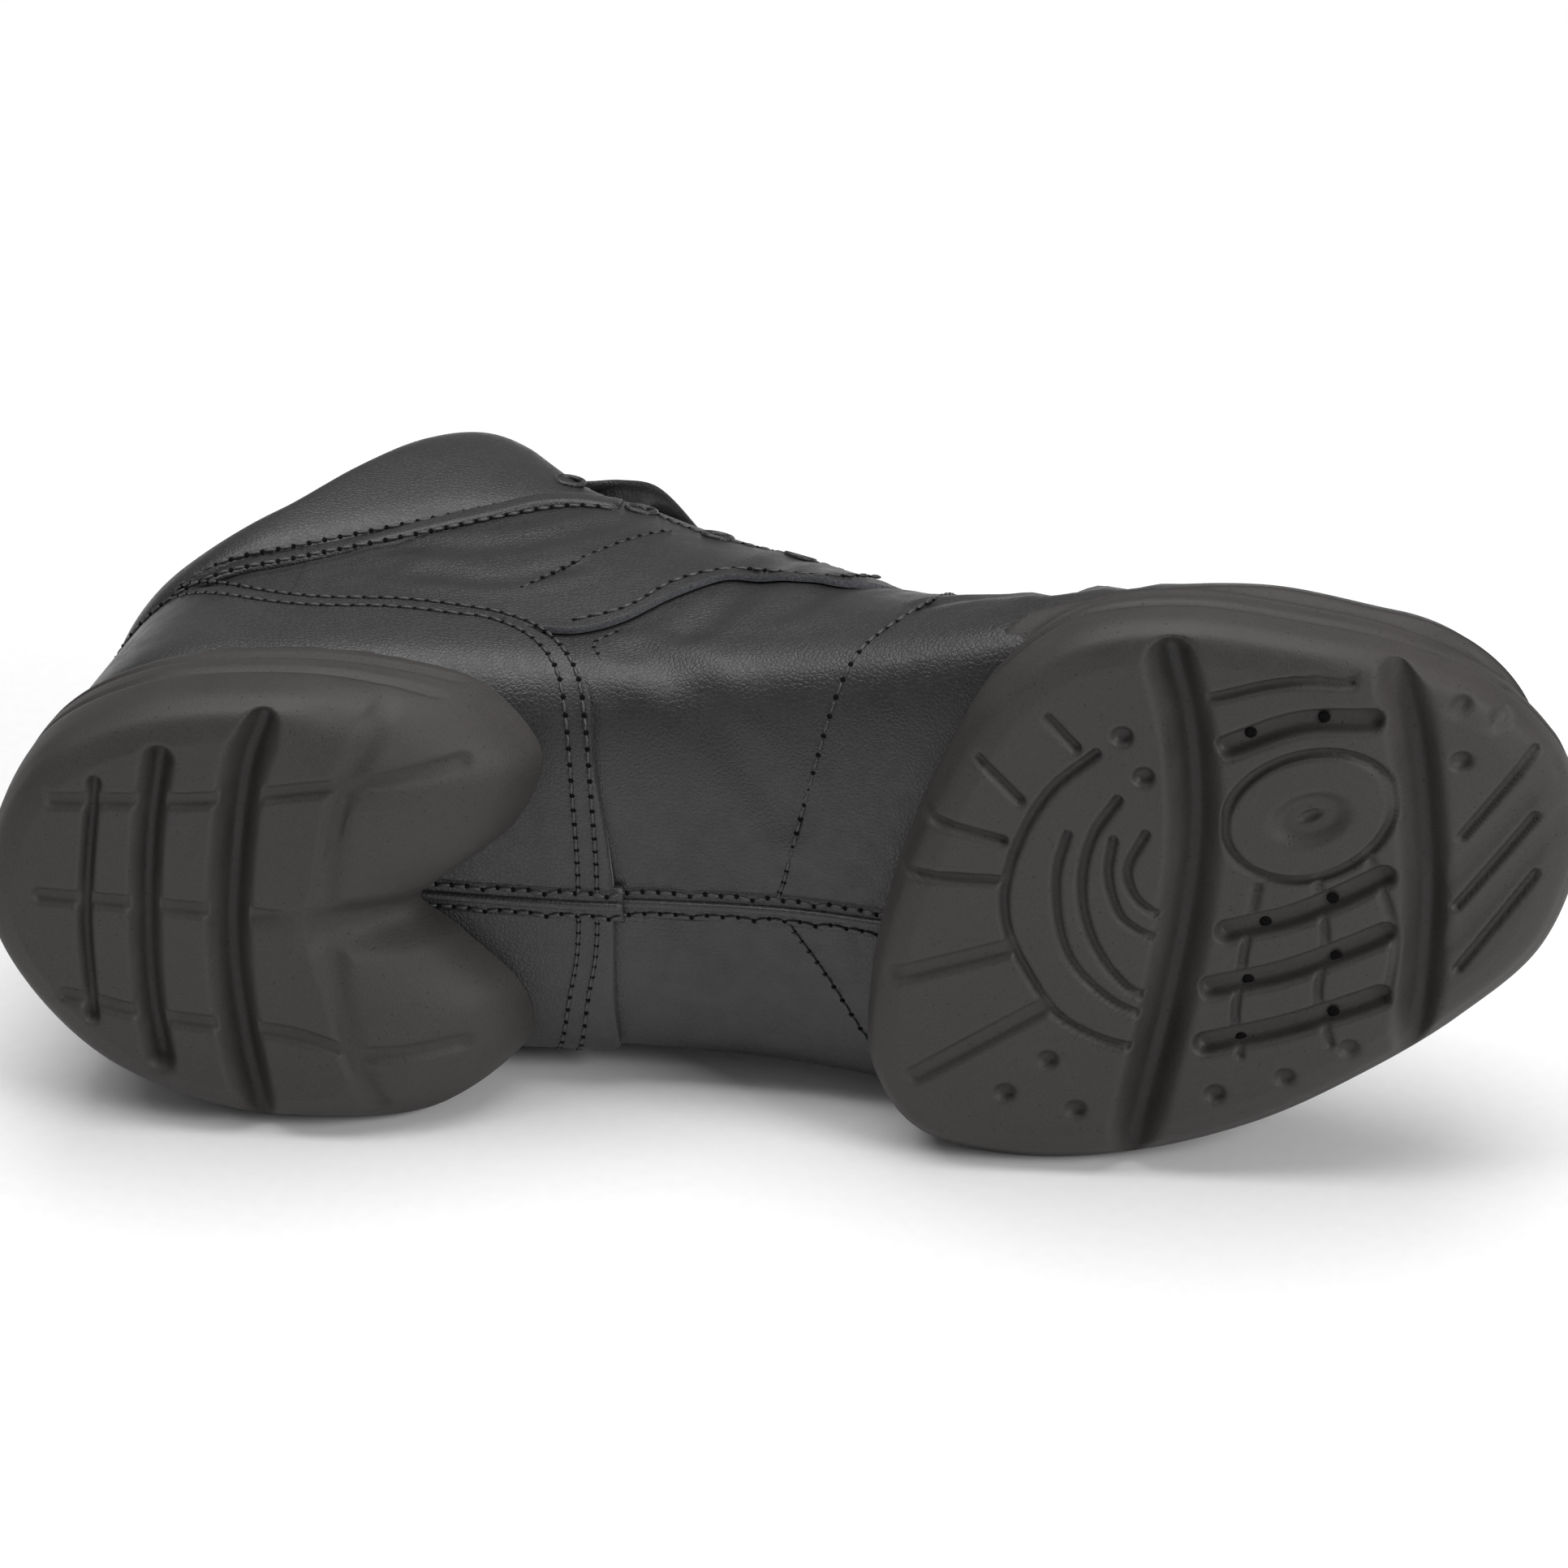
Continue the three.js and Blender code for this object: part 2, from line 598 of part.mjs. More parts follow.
// The wall at a height: the share along the last and the angle of its section that reach it.
function wallAngle(x, z) {
  const section = sectionAt(x);
  const rise = THREE.MathUtils.clamp((z - section.waist) / section.above, -0.98, 0.98);
  return Math.asin(Math.sign(rise) * Math.abs(rise) ** (section.upper / 2));
}

function shareAt(x) {
  return Math.acos(THREE.MathUtils.clamp(1 - (2 * (x - lastHeel)) / (lastToe - lastHeel), -1, 1)) / Math.PI;
}

function wallPlace(x, z, side, offset) {
  const angle = wallAngle(x, z);
  return offsetLast(shareAt(x), side > 0 ? angle : Math.PI - angle, offset);
}

const throatEdge = column(throatTable, "edge");

function eyeletPlace(at, side, offset) {
  const z = throatEdge(at) * collarHeight - eyeletSetback;
  return wallPlace(at * shoeLength, z, side, offset);
}

function eyeletHoles(side) {
  return laceRows.map((at) => {
    const inner = eyeletPlace(at, side, -4);
    const outer = eyeletPlace(at, side, 4);
    const path = new THREE.LineCurve3(inner, outer);
    const circle = new THREE.Shape().absarc(0, 0, eyeletDiameter / 2, 0, 2 * Math.PI);
    const options = { steps: 1, curveSegments: 3, bevelEnabled: false, extrudePath: path };
    return solidFromGeometry(new THREE.ExtrudeGeometry(circle, options));
  });
}

// The padded cuff: a closed pad swept round the opening from one facing to the other.
const cuffSection = [
  { out: 0.0, up: 0.02 },
  { out: 0.75, up: 0.2 },
  { out: 1.0, up: 0.5 },
  { out: 0.85, up: 0.78 },
  { out: 0.1, up: 0.95 },
  { out: -0.45, up: 1.0 },
  { out: -0.85, up: 0.9 },
  { out: -1.0, up: 0.6 },
  { out: -0.9, up: 0.25 },
  { out: -0.5, up: 0.04 },
];

function makeCuff() {
  const rings = [];
  const steps = 30;
  const reach = rimTable.at(-1).at * shoeLength - 0.5 - lastHeel;
  for (let step = 0; step <= steps; step++) {
    const turn = (2 * step) / steps - 1;
    const side = turn < 0 ? -1 : 1;
    const x = lastHeel + 0.02 + reach * Math.abs(turn) ** 1.7;
    const at = x / shoeLength;
    const low = rimSeam(at) * collarHeight + seamGap;
    const high = rimTop(at) * collarHeight;
    const swell = side < 0 ? cuffMedialSwell * shade(x, 0.08 * shoeLength, 0.2 * shoeLength) : 0;
    rings.push(
      cuffSection.map((row) => {
        const offset = row.out > 0 ? row.out * cuffBulge + row.up * swell : row.out * cuffPadding;
        return wallPlace(x, THREE.MathUtils.lerp(low, high, row.up), side, offset);
      }),
    );
  }
  return solidFromGeometry(skinOver(rings));
}

// The insole lies on the inner bottom of the upper.
function makeInsole() {
  const rings = [];
  const columnsAcross = 6;
  const stations = 20;
  const endShare = 0.09;
  for (let station = 0; station <= stations; station++) {
    const share = endShare + ((1 - 2 * endShare) * station) / stations;
    const under = [];
    for (let step = 0; step <= columnsAcross; step++) {
      const angle = THREE.MathUtils.degToRad(-130 + (80 * step) / columnsAcross);
      under.push(offsetLast(share, angle, -upperWall - 2 * seamGap));
    }
    const over = under.map((place) => place.clone().add(new THREE.Vector3(0, 0, insoleThickness)));
    rings.push([...under, ...over.reverse()].reverse());
  }
  return solidFromGeometry(skinOver(rings));
}

// The tongue: an arched pad whose medial edge stands out of the throat.
const tongueUpwards = [...tongueTable].reverse();
const tongueColumns = Object.fromEntries(
  Object.keys(tongueTable[0]).filter((name) => name !== "at").map((name) => [name, column(tongueUpwards, name)]),
);

function tongueHeight(at, y) {
  const crown = tongueColumns.crown(at) * collarHeight;
  const middle = ((tongueColumns.medial(at) + tongueColumns.lateral(at)) * ballWidth) / 2;
  const side = y < middle ? "medial" : "lateral";
  const reach = (y - middle) / (tongueColumns[side](at) * ballWidth - middle);
  const edge = tongueColumns[side + "Edge"](at) * collarHeight;
  return crown - (crown - edge) * Math.min(1.1, Math.abs(reach)) ** 2.2;
}

function makeTongue() {
  const rings = [];
  const stations = 14;
  const across = 8;
  const first = tongueTable[0].at;
  const last = tongueTable.at(-1).at;
  for (let station = 0; station <= stations; station++) {
    const at = first + ((last - first) * station) / stations;
    const medial = tongueColumns.medial(at) * ballWidth;
    const lateral = tongueColumns.lateral(at) * ballWidth;
    const thin = station === 0 || station === stations ? 0.5 : 1;
    const over = [];
    const under = [];
    for (let step = 0; step <= across; step++) {
      const y = THREE.MathUtils.lerp(medial, lateral, step / across);
      const z = tongueHeight(at, y);
      const half = (tongueThickness / 2) * thin * (step === 0 || step === across ? 0.45 : 1);
      over.push(new THREE.Vector3(at * shoeLength, y, z + half));
      under.push(new THREE.Vector3(at * shoeLength, y, z - half));
    }
    rings.push([...over, ...under.reverse()]);
  }
  return solidFromGeometry(skinOver(rings));
}

// The height of the last's top surface over a place in plan.
function lastTopAt(x, y) {
  const section = sectionAt(x);
  let rise = 1;
  for (let round = 0; round < 8; round++) {
    const reach = Math.min(0.995, Math.abs(y - section.centre - section.skew * rise) / section.half);
    rise = (1 - reach ** section.upper) ** (1 / section.upper);
  }
  return section.waist + section.above * rise;
}

// Lace crossings, joined, over the tongue and the facings
const laceLift = overlayThickness + 2 * seamGap + laceDiameter / 2 + laceClearance;

function laceRun(fromAt, toAt, side) {
  const start = eyeletPlace(fromAt + laceShift, side, laceLift);
  const end = eyeletPlace(toAt - laceShift, -side, laceLift + 0.05);
  const places = [start];
  const spans = 10;
  for (let step = 1; step < spans; step++) {
    const place = start.clone().lerp(end, step / spans);
    const overTongue = tongueHeight(place.x / shoeLength, place.y) + tongueThickness / 2 + laceDiameter / 2;
    const overFacing = lastTopAt(place.x, place.y) + 1.2 * laceLift;
    place.z = Math.max(overTongue + 5 * laceClearance, overFacing);
    places.push(place);
  }
  places.push(end);
  const circle = new THREE.Shape().absarc(0, 0, laceDiameter / 2, 0, 2 * Math.PI);
  const path = new THREE.CatmullRomCurve3(places);
  const options = { steps: laceSteps, curveSegments: 3, bevelEnabled: false, extrudePath: path };
  return solidFromGeometry(new THREE.ExtrudeGeometry(circle, options));
}

function makeLaces() {
  const runs = [laceRun(laceRows[0], laceRows[0], 1)];
  for (let row = 0; row + 1 < laceRows.length; row++) {
    for (const side of [1, -1]) {
      runs.push(laceRun(laceRows[row], laceRows[row + 1], side));
    }
  }
  return joined(runs);
}

function makeSole(unit, cutters, gapSolid) {
  return cutBy(unitForm(unit, 0), [gapSolid, ...cutters]);
}

const pieces = {};
pieces.heel_sole = makeSole(
  heelUnit,
  [
    ...heelGrooves.map(straightGroove),
    ...wallGrooves.heelRises.map((rise) => wallGroove(heelUnit, heelWallSpan, rise)),
  ],
  clearedLast,
);
pieces.forefoot_sole = makeSole(
  forefootUnit,
  [
    ...forefootGrooves.map(straightGroove),
    ...arcGrooves.map(arcGroove),
    ovalGroove(flexOval),
    ...wallGrooves.forefootRises.map((rise) => wallGroove(forefootUnit, forefootWallSpan, rise)),
  ],
  clearedLast,
);
pieces.upper = cutBy(makeUpper(), [...eyeletHoles(-1), ...eyeletHoles(1)]);
pieces.insole = makeInsole();
pieces.tongue = makeTongue();
pieces.heel_counter = makeCounter();
pieces.quarter_medial = makeQuarter(-1);
pieces.quarter_lateral = makeQuarter(1);
pieces.collar_cuff = makeCuff();
pieces.laces = makeLaces();

// Finishes
const leather = { color: 0x2b2928, roughness: 0.5, metalness: 0 };
const moulded = { color: 0x44403e, roughness: 0.75, metalness: 0 };
const finishes = {
  heel_sole: moulded,
  forefoot_sole: moulded,
  upper: leather,
  insole: { color: 0x222222, roughness: 0.9, metalness: 0 },
  tongue: leather,
  heel_counter: leather,
  quarter_medial: leather,
  quarter_lateral: leather,
  collar_cuff: leather,
  laces: { color: 0x1c1c1d, roughness: 0.7, metalness: 0 },
};

function geometryOf(solid) {
  const mesh = solid.getMesh();
  const geometry = new THREE.BufferGeometry();
  geometry.setAttribute("position", new THREE.BufferAttribute(mesh.vertProperties, 3));
  geometry.setIndex(new THREE.BufferAttribute(mesh.triVerts, 1));
  return geometry;
}

// How the shoe lies: on the lateral edges of both sole units and the side of the cuff.
function placesOf(solid) {
  const mesh = solid.getMesh();
  const places = [];
  for (let vertex = 0; vertex < mesh.numVert; vertex++) {
    places.push(new THREE.Vector3().fromArray(mesh.vertProperties, vertex * 3));
  }
  return places;
}

function furthest(places, direction) {
  return places.reduce((best, place) => (place.dot(direction) > best.dot(direction) ? place : best));
}

function restingNormal() {
  const groups = ["heel_sole", "forefoot_sole", "collar_cuff"].map((name) => placesOf(pieces[name]));
  let normal = new THREE.Vector3(0, 1, 0);
  for (let round = 0; round < 8; round++) {
    const [heel, ball, cuff] = groups.map((places) => furthest(places, normal));
    normal = cuff.clone().sub(heel).cross(ball.clone().sub(heel)).normalize();
  }
  return normal;
}

const downward = restingNormal();
const lyingDown = new THREE.Quaternion().setFromUnitVectors(downward, new THREE.Vector3(0, 0, -1));
const reaches = Object.values(pieces).map((solid) => furthest(placesOf(solid), downward).dot(downward));
const lowest = Math.max(...reaches);

function floorBlock() {
  const block = new THREE.BoxGeometry(3 * shoeLength, 3 * shoeLength, shoeLength);
  block.translate(0, 0, -shoeLength / 2 - lowest + restingFlat);
  block.applyQuaternion(lyingDown.clone().invert());
  return solidFromGeometry(block);
}

const floor = floorBlock();
const shoe = new THREE.Group();
for (const [name, solid] of Object.entries(pieces)) {
  const finish = new THREE.MeshStandardMaterial(finishes[name]);
  const mesh = new THREE.Mesh(geometryOf(solid.subtract(floor)), finish);
  mesh.name = name;
  shoe.add(mesh);
}
shoe.quaternion.copy(lyingDown);
shoe.updateMatrixWorld(true);
const box = new THREE.Box3().setFromObject(shoe, true);
const middle = box.getCenter(new THREE.Vector3());
shoe.position.set(-middle.x, -middle.y, -box.min.z);

const lyingShoe = new THREE.Group();
lyingShoe.add(shoe);
export default lyingShoe;
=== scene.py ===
"""Looks of a left split-sole dance sneaker that lies on its lateral side.

The shoe is shaped upright, in millimetres: x runs from heel to toe, y to the lateral side and z up
from the tread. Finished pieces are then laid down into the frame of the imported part, in metres.
"""

import json
import logging
import math
from collections.abc import Callable
from dataclasses import dataclass, field
from enum import Enum

import bmesh
import bpy
import numpy as np
from mathutils import Matrix, Vector


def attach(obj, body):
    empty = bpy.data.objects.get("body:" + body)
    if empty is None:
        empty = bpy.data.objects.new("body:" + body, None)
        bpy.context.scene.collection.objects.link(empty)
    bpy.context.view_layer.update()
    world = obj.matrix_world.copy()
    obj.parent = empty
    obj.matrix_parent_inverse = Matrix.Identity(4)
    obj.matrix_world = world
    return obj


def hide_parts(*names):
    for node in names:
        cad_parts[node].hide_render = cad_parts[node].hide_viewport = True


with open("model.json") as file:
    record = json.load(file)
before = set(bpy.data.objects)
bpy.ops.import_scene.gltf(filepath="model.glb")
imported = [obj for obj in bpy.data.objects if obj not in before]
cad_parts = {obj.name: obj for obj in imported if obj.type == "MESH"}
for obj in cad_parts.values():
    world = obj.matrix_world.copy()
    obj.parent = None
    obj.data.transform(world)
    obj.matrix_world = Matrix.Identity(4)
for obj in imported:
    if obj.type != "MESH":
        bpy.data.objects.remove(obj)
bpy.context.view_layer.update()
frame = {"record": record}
log = logging.getLogger("dance_sneaker")

MM = 0.001
Height = Callable[[np.ndarray], np.ndarray]
Triple = tuple[float, float, float]
Plan = tuple[tuple[float, float], ...]
Line = tuple[Triple, ...]
Socket = bpy.types.NodeSocket
Material = bpy.types.Material
Piece = bpy.types.Object


# Sizes and small helpers


@dataclass(frozen=True)
class ShoeSizes:
    """Named sizes of the shoe, in millimetres."""

    length: float = 252
    ball_width: float = 95
    heel_width: float = 78
    collar_height: float = 107
    instep_height: float = 96
    waist_height: float = 39
    seat_height: float = 20
    heel_rim: float = 28
    forefoot_rim: float = 20.5
    toe_spring: float = 8.5
    toe_spring_start: float = 205
    end_setback: float = 4
    heel_roundness: float = 32
    toe_roundness: float = 24
    heel_lean: float = 0.17
    lean_start: float = 28
    lean_fade: float = 60
    wall: float = 1.8
    overlay: float = 1.1
    gap: float = 0.3


SIZES = ShoeSizes()


class Side(Enum):
    """The side of the shoe, with the sign of its y."""

    MEDIAL = -1
    LATERAL = 1


def smooth(value: np.ndarray, low: float, high: float) -> np.ndarray:
    """A smooth step from 0 at low to 1 at high."""
    share = np.clip((np.asarray(value, float) - low) / (high - low), 0, 1)
    return share * share * (3 - 2 * share)


@dataclass(frozen=True)
class Profile:
    """A smooth value along the shoe, given at a few places."""

    places: tuple[float, ...]
    values: tuple[float, ...]

    def __call__(self, place: np.ndarray) -> np.ndarray:
        """The value at a place, held constant past both ends."""
        known = np.asarray(self.places, float)
        values = np.asarray(self.values, float)
        slopes = np.diff(values) / np.diff(known)
        tangents = np.concatenate(([slopes[0]], (slopes[1:] + slopes[:-1]) / 2, [slopes[-1]]))
        place = np.clip(place, known[0], known[-1])
        low = np.clip(np.searchsorted(known, place, side="right") - 1, 0, len(known) - 2)
        span = known[low + 1] - known[low]
        t = (place - known[low]) / span
        start = (1 + 2 * t) * (1 - t) ** 2 * values[low] + t * (1 - t) ** 2 * span * tangents[low]
        end = t * t * (3 - 2 * t) * values[low + 1] + t * t * (t - 1) * span * tangents[low + 1]
        return start + end


def profile(rows: list[tuple[float, ...]], column: int = 1) -> Profile:
    """One column of a table whose first column is the place.

    Args:
        rows: the table's rows.
        column: the column that holds the value.

    Returns:
        The smooth value along the table.
    """
    return Profile(tuple(row[0] for row in rows), tuple(row[column] for row in rows))


def line_distance(places: np.ndarray, line: np.ndarray) -> np.ndarray:
    """The distance of each place from a line of straight stretches.

    Args:
        places: places, one a row.
        line: the line's own points, one a row.

    Returns:
        One distance for each place.
    """
    best = np.full(len(places), np.inf)
    for start, end in zip(line[:-1], line[1:]):
        run = end - start
        share = np.clip((places - start) @ run / max(run @ run, 1e-9), 0, 1)
        best = np.minimum(best, np.linalg.norm(places - start - share[:, None] * run, axis=1))
    return best


def even_line(points: np.ndarray, pitch: float) -> np.ndarray:
    """A smooth line through points, as places an even pitch apart.

    Args:
        points: the points, one a row.
        pitch: the distance between places.

    Returns:
        The places, one a row.
    """
    points = np.asarray(points, float)
    steps = np.arange(len(points), dtype=float)
    fine = np.linspace(0, len(points) - 1, 24 * len(points))
    dense = np.stack([Profile(tuple(steps), tuple(axis))(fine) for axis in points.T], axis=1)
    run = np.concatenate(([0], np.cumsum(np.linalg.norm(np.diff(dense, axis=0), axis=1))))
    wanted = np.linspace(0, run[-1], max(2, int(round(run[-1] / pitch)) + 1))
    return np.stack([np.interp(wanted, run, axis) for axis in dense.T], axis=1)


class ShoeFrame:
    """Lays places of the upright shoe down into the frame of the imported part."""

    heel_spot = np.array([38.0, 8.0, 0.0])
    forefoot_spot = np.array([186.0, -30.0, 0.0])

    def __init__(self, record: dict) -> None:
        """Finds how the shoe lies from two named places on its tread.

        Args:
            record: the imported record, whose mounts give both places.
        """
        mounts = {mount["name"]: mount for mount in record["mounts"]}
        heel = np.array(mounts["heel_tread"]["pos_m"])
        forefoot = np.array(mounts["forefoot_tread"]["pos_m"])
        up = -np.array(mounts["heel_tread"]["axis"], float)
        up /= np.linalg.norm(up)
        run = forefoot - heel
        run -= up * (run @ up)
        run /= np.linalg.norm(run)
        apart = self.forefoot_spot - self.heel_spot
        turn = math.atan2(apart[1], apart[0])
        along = math.cos(turn) * run - math.sin(turn) * np.cross(up, run)
        self.axes = np.stack([along, np.cross(up, along), up], axis=1)
        self.origin = heel - self.axes @ self.heel_spot * MM

    def laid(self, places: np.ndarray) -> np.ndarray:
        """Places in the part's frame, in metres."""
        return np.asarray(places, float) @ self.axes.T * MM + self.origin


LYING = ShoeFrame(frame["record"])


# The last


@dataclass(frozen=True)
class Section:
    """One section of the last: sizes at each station asked for."""

    centre: np.ndarray
    half: np.ndarray
    skew: np.ndarray
    waist: np.ndarray
    below: np.ndarray
    above: np.ndarray
    lower: np.ndarray
    upper: np.ndarray


class Last:
    """The form the shoe is made on, as one smooth surface outside the upper's leather."""

    # at, centre, half, waist, bed, crown, skew, power below the waist, power above it
    rows = [
        (0.016, 0.021, 0.353, 0.92, 1.0, 1.27, 0, 5.0, 6.0),
        (0.119, 0.021, 0.361, 0.95, 1.0, 1.27, 0, 5.0, 6.0),
        (0.198, 0.021, 0.368, 0.97, 1.0, 1.27, 0, 4.8, 6.0),
        (0.27, 0.023, 0.37, 1.0, 0.965, 1.24, -0.01, 4.6, 5.0),
        (0.317, 0.029, 0.369, 1.0, 0.925, 1.2, -0.03, 4.2, 3.8),
        (0.369, 0.034, 0.37, 0.97, 0.89, 1.12, -0.045, 3.9, 2.9),
        (0.433, 0.036, 0.378, 0.9, 0.875, 1.0, -0.05, 3.6, 2.35),
        (0.5, 0.032, 0.392, 0.79, 0.8, 0.89, -0.045, 3.3, 2.05),
        (0.575, 0.024, 0.417, 0.67, 0.63, 0.755, -0.035, 3.3, 1.85),
        (0.655, 0.008, 0.447, 0.58, 0.5, 0.61, -0.025, 3.4, 1.8),
        (0.734, -0.017, 0.46, 0.54, 0.475, 0.51, -0.015, 3.5, 1.85),
        (0.813, -0.049, 0.434, 0.535, 0.5, 0.443, -0.005, 3.5, 2.0),
        (0.893, -0.083, 0.35, 0.55, 0.61, 0.393, 0, 3.2, 2.2),
        (0.952, -0.097, 0.31, 0.57, 0.75, 0.352, 0, 3.0, 2.3),
        (0.984, -0.1, 0.284, 0.58, 0.85, 0.323, 0, 3.0, 2.4),
    ]

    def __init__(self, sizes: ShoeSizes) -> None:
        """Keeps the sizes and the columns of the table."""
        self.sizes = sizes
        self.heel = sizes.end_setback
        self.toe = sizes.length - sizes.end_setback
        names = ("centre", "half", "waist", "bed", "crown", "skew", "lower", "upper")
        self.columns = {name: profile(self.rows, place + 1) for place, name in enumerate(names)}

    def x_at(self, share: np.ndarray) -> np.ndarray:
        """The place along the shoe at a share of the last, crowded at both ends."""
        return self.heel + (self.toe - self.heel) * (1 - np.cos(np.pi * share)) / 2

    def share_at(self, x: np.ndarray) -> np.ndarray:
        """The share of the last at a place along the shoe."""
        return np.arccos(np.clip(1 - 2 * (x - self.heel) / (self.toe - self.heel), -1, 1)) / np.pi

    def section(self, x: np.ndarray) -> Section:
        """The sizes of the sections at places along the shoe."""
        sizes = self.sizes
        at = x / sizes.length
        toe_reach = np.clip(1 - (self.toe - x) / sizes.toe_roundness, 0, 1)
        heel_reach = np.clip(1 - (x - self.heel) / sizes.heel_roundness, 0, 1)
        toe_round = np.sqrt(1 - toe_reach**2)
        rounding = np.sqrt(1 - heel_reach**2) * toe_round
        flattening = 0.45 + 0.55 * toe_round
        waist = self.columns["waist"](at) * sizes.waist_height
        return Section(
            centre=self.columns["centre"](at) * sizes.ball_width,
            half=self.columns["half"](at) * sizes.ball_width * np.maximum(rounding, 1e-4),
            skew=self.columns["skew"](at) * sizes.ball_width,
            waist=waist,
            below=(waist - self.columns["bed"](at) * sizes.seat_height) * flattening,
            above=(self.columns["crown"](at) * sizes.instep_height - waist) * flattening,
            lower=self.columns["lower"](at),
            upper=self.columns["upper"](at),
        )

    def lean(self, x: np.ndarray, z: np.ndarray) -> np.ndarray:
        """How far the heel's back leans forward at a height."""
        sizes = self.sizes
        fade = 1 - smooth(x, self.heel, sizes.lean_fade)
        return sizes.heel_lean * np.maximum(0, z - sizes.lean_start) * fade

    def bare(self, share: np.ndarray, turn: np.ndarray) -> np.ndarray:
        """Places on the last itself.

        Args:
            share: shares along the last.
            turn: turns round its sections, from the lateral side over the top.

        Returns:
            The places, with x, y and z in the last axis.
        """
        x = self.x_at(share)
        part = self.section(x)
        across, rise = np.cos(turn), np.sin(turn)
        power = np.where(rise < 0, part.lower, part.upper)
        size = (np.abs(across) ** power + np.abs(rise) ** power) ** (1 / power)
        across, rise = across / size, rise / size
        z = part.waist + rise * np.where(rise < 0, part.below, part.above)
        y = part.centre + part.half * across + part.skew * np.maximum(0, rise)
        return np.stack(np.broadcast_arrays(x + self.lean(x, z), y, z), axis=-1)

    def normal(self, share: np.ndarray, turn: np.ndarray) -> np.ndarray:
        """The outward direction of the last at shares and turns."""
        ahead = self.bare(np.minimum(share + 0.004, 1), turn) - self.bare(np.maximum(share - 0.004, 0), turn)
        around = self.bare(share, turn + 0.03) - self.bare(share, turn - 0.03)
        outward = np.cross(around, ahead)
        return outward / np.maximum(np.linalg.norm(outward, axis=-1, keepdims=True), 1e-9)

    def place(self, share: np.ndarray, turn: np.ndarray, offset: float | np.ndarray = 0.0) -> np.ndarray:
        """Places off the last by an offset along its own outward direction."""
        share, turn, offset = np.broadcast_arrays(share, turn, offset)
        return self.bare(share, turn) + self.normal(share, turn) * offset[..., None]

    def turn_at(self, x: np.ndarray, z: np.ndarray, side: Side) -> np.ndarray:
        """The turn at which a section reaches a height on one side."""
        part = self.section(x)
        over = z >= part.waist
        power = np.where(over, part.upper, part.lower)
        room = np.maximum(np.where(over, part.above, part.below), 1e-6)
        rise = np.clip((z - part.waist) / room, -1, 1)
        across = (1 - np.abs(rise) ** power) ** (1 / power)
        turn = np.arctan2(rise, across)
        return turn if side is Side.LATERAL else np.pi - turn

    def wall_place(
        self, x: np.ndarray, z: np.ndarray, side: Side, offset: float | np.ndarray = 0.0
    ) -> np.ndarray:
        """Places on one side's wall at places along the shoe and heights."""
        return self.place(self.share_at(x), self.turn_at(x, z, side), offset)

    def polar(self, places: np.ndarray) -> tuple[np.ndarray, np.ndarray, np.ndarray]:
        """The share, turn and size of free places, where size 1 is the last's surface."""
        x = places[:, 0] - self.lean(places[:, 0], places[:, 2])
        inside = np.clip(x, self.heel + 0.02, self.toe - 0.02)
        part = self.section(inside)
        rise = (places[:, 2] - part.waist) / np.where(places[:, 2] < part.waist, part.below, part.above)
        across = (places[:, 1] - part.centre - part.skew * np.clip(rise, 0, 1)) / part.half
        power = np.where(rise < 0, part.lower, part.upper)
        size = (np.abs(across) ** power + np.abs(rise) ** power) ** (1 / power)
        return self.share_at(inside), np.arctan2(rise, across), size

    def snapped(self, places: np.ndarray, offset: float | np.ndarray = 0.0) -> np.ndarray:
        """Free places moved onto the last, or off it by an offset."""
        share, turn, _ = self.polar(np.asarray(places, float))
        return self.place(share, turn, offset)

    def distance(self, places: np.ndarray) -> np.ndarray:
        """How far free places stand off the last, less than 0 inside it."""
        share, turn, size = self.polar(places)
        near = self.bare(share, turn)
        gap = np.linalg.norm(places - near, axis=1)
        beyond = (places[:, 0] < self.heel) | (places[:, 0] > self.toe)
        return np.where((size < 1) & ~beyond, -gap, gap)


LAST = Last(SIZES)


# Heights of edges and seams seen from the side, as shares of the length and the collar's height


def edge_height(rows: list[tuple[float, ...]], column: int = 1) -> Height:
    """An edge's height over the place along the shoe, both in millimetres."""
    shares = profile(rows, column)
    return lambda x: shares(x / SIZES.length) * SIZES.collar_height


RIM_ROWS = [
    (0.0, 0.66, 0.545),
    (0.09, 0.645, 0.545),
    (0.143, 0.725, 0.565),
    (0.19, 0.86, 0.6),
    (0.23, 0.98, 0.64),
    (0.262, 1.03, 0.67),
    (0.294, 1.0, 0.705),
    (0.318, 0.935, 0.745),
    (0.341, 0.875, 0.765),
    (0.373, 0.825, 0.768),
]
THROAT_ROWS = [
    (0.294, 0.995),
    (0.341, 0.875),
    (0.369, 0.835),
    (0.433, 0.735),
    (0.476, 0.7),
    (0.524, 0.68),
    (0.575, 0.655),
    (0.611, 0.635),
]
COUNTER_ROWS = [
    (-0.02, 0.53),
    (0.06, 0.53),
    (0.143, 0.455),
    (0.198, 0.42),
    (0.25, 0.41),
    (0.295, 0.39),
    (0.325, 0.36),
    (0.352, 0.31),
    (0.375, 0.25),
    (0.39, 0.19),
    (0.397, 0.1),
]
QUARTER_ROWS = [
    (0.345, 0.335),
    (0.372, 0.33),
    (0.401, 0.365),
    (0.429, 0.43),
    (0.46, 0.48),
    (0.504, 0.47),
    (0.54, 0.46),
    (0.565, 0.51),
    (0.585, 0.58),
    (0.602, 0.63),
]
rim_top = edge_height(RIM_ROWS)
cuff_seam = edge_height(RIM_ROWS, 2)
throat_edge = edge_height(THROAT_ROWS)
counter_edge = edge_height(COUNTER_ROWS)
quarter_edge = edge_height(QUARTER_ROWS)
PAD_FRONT = 0.373 * SIZES.length
THROAT_FRONT = 0.611 * SIZES.length


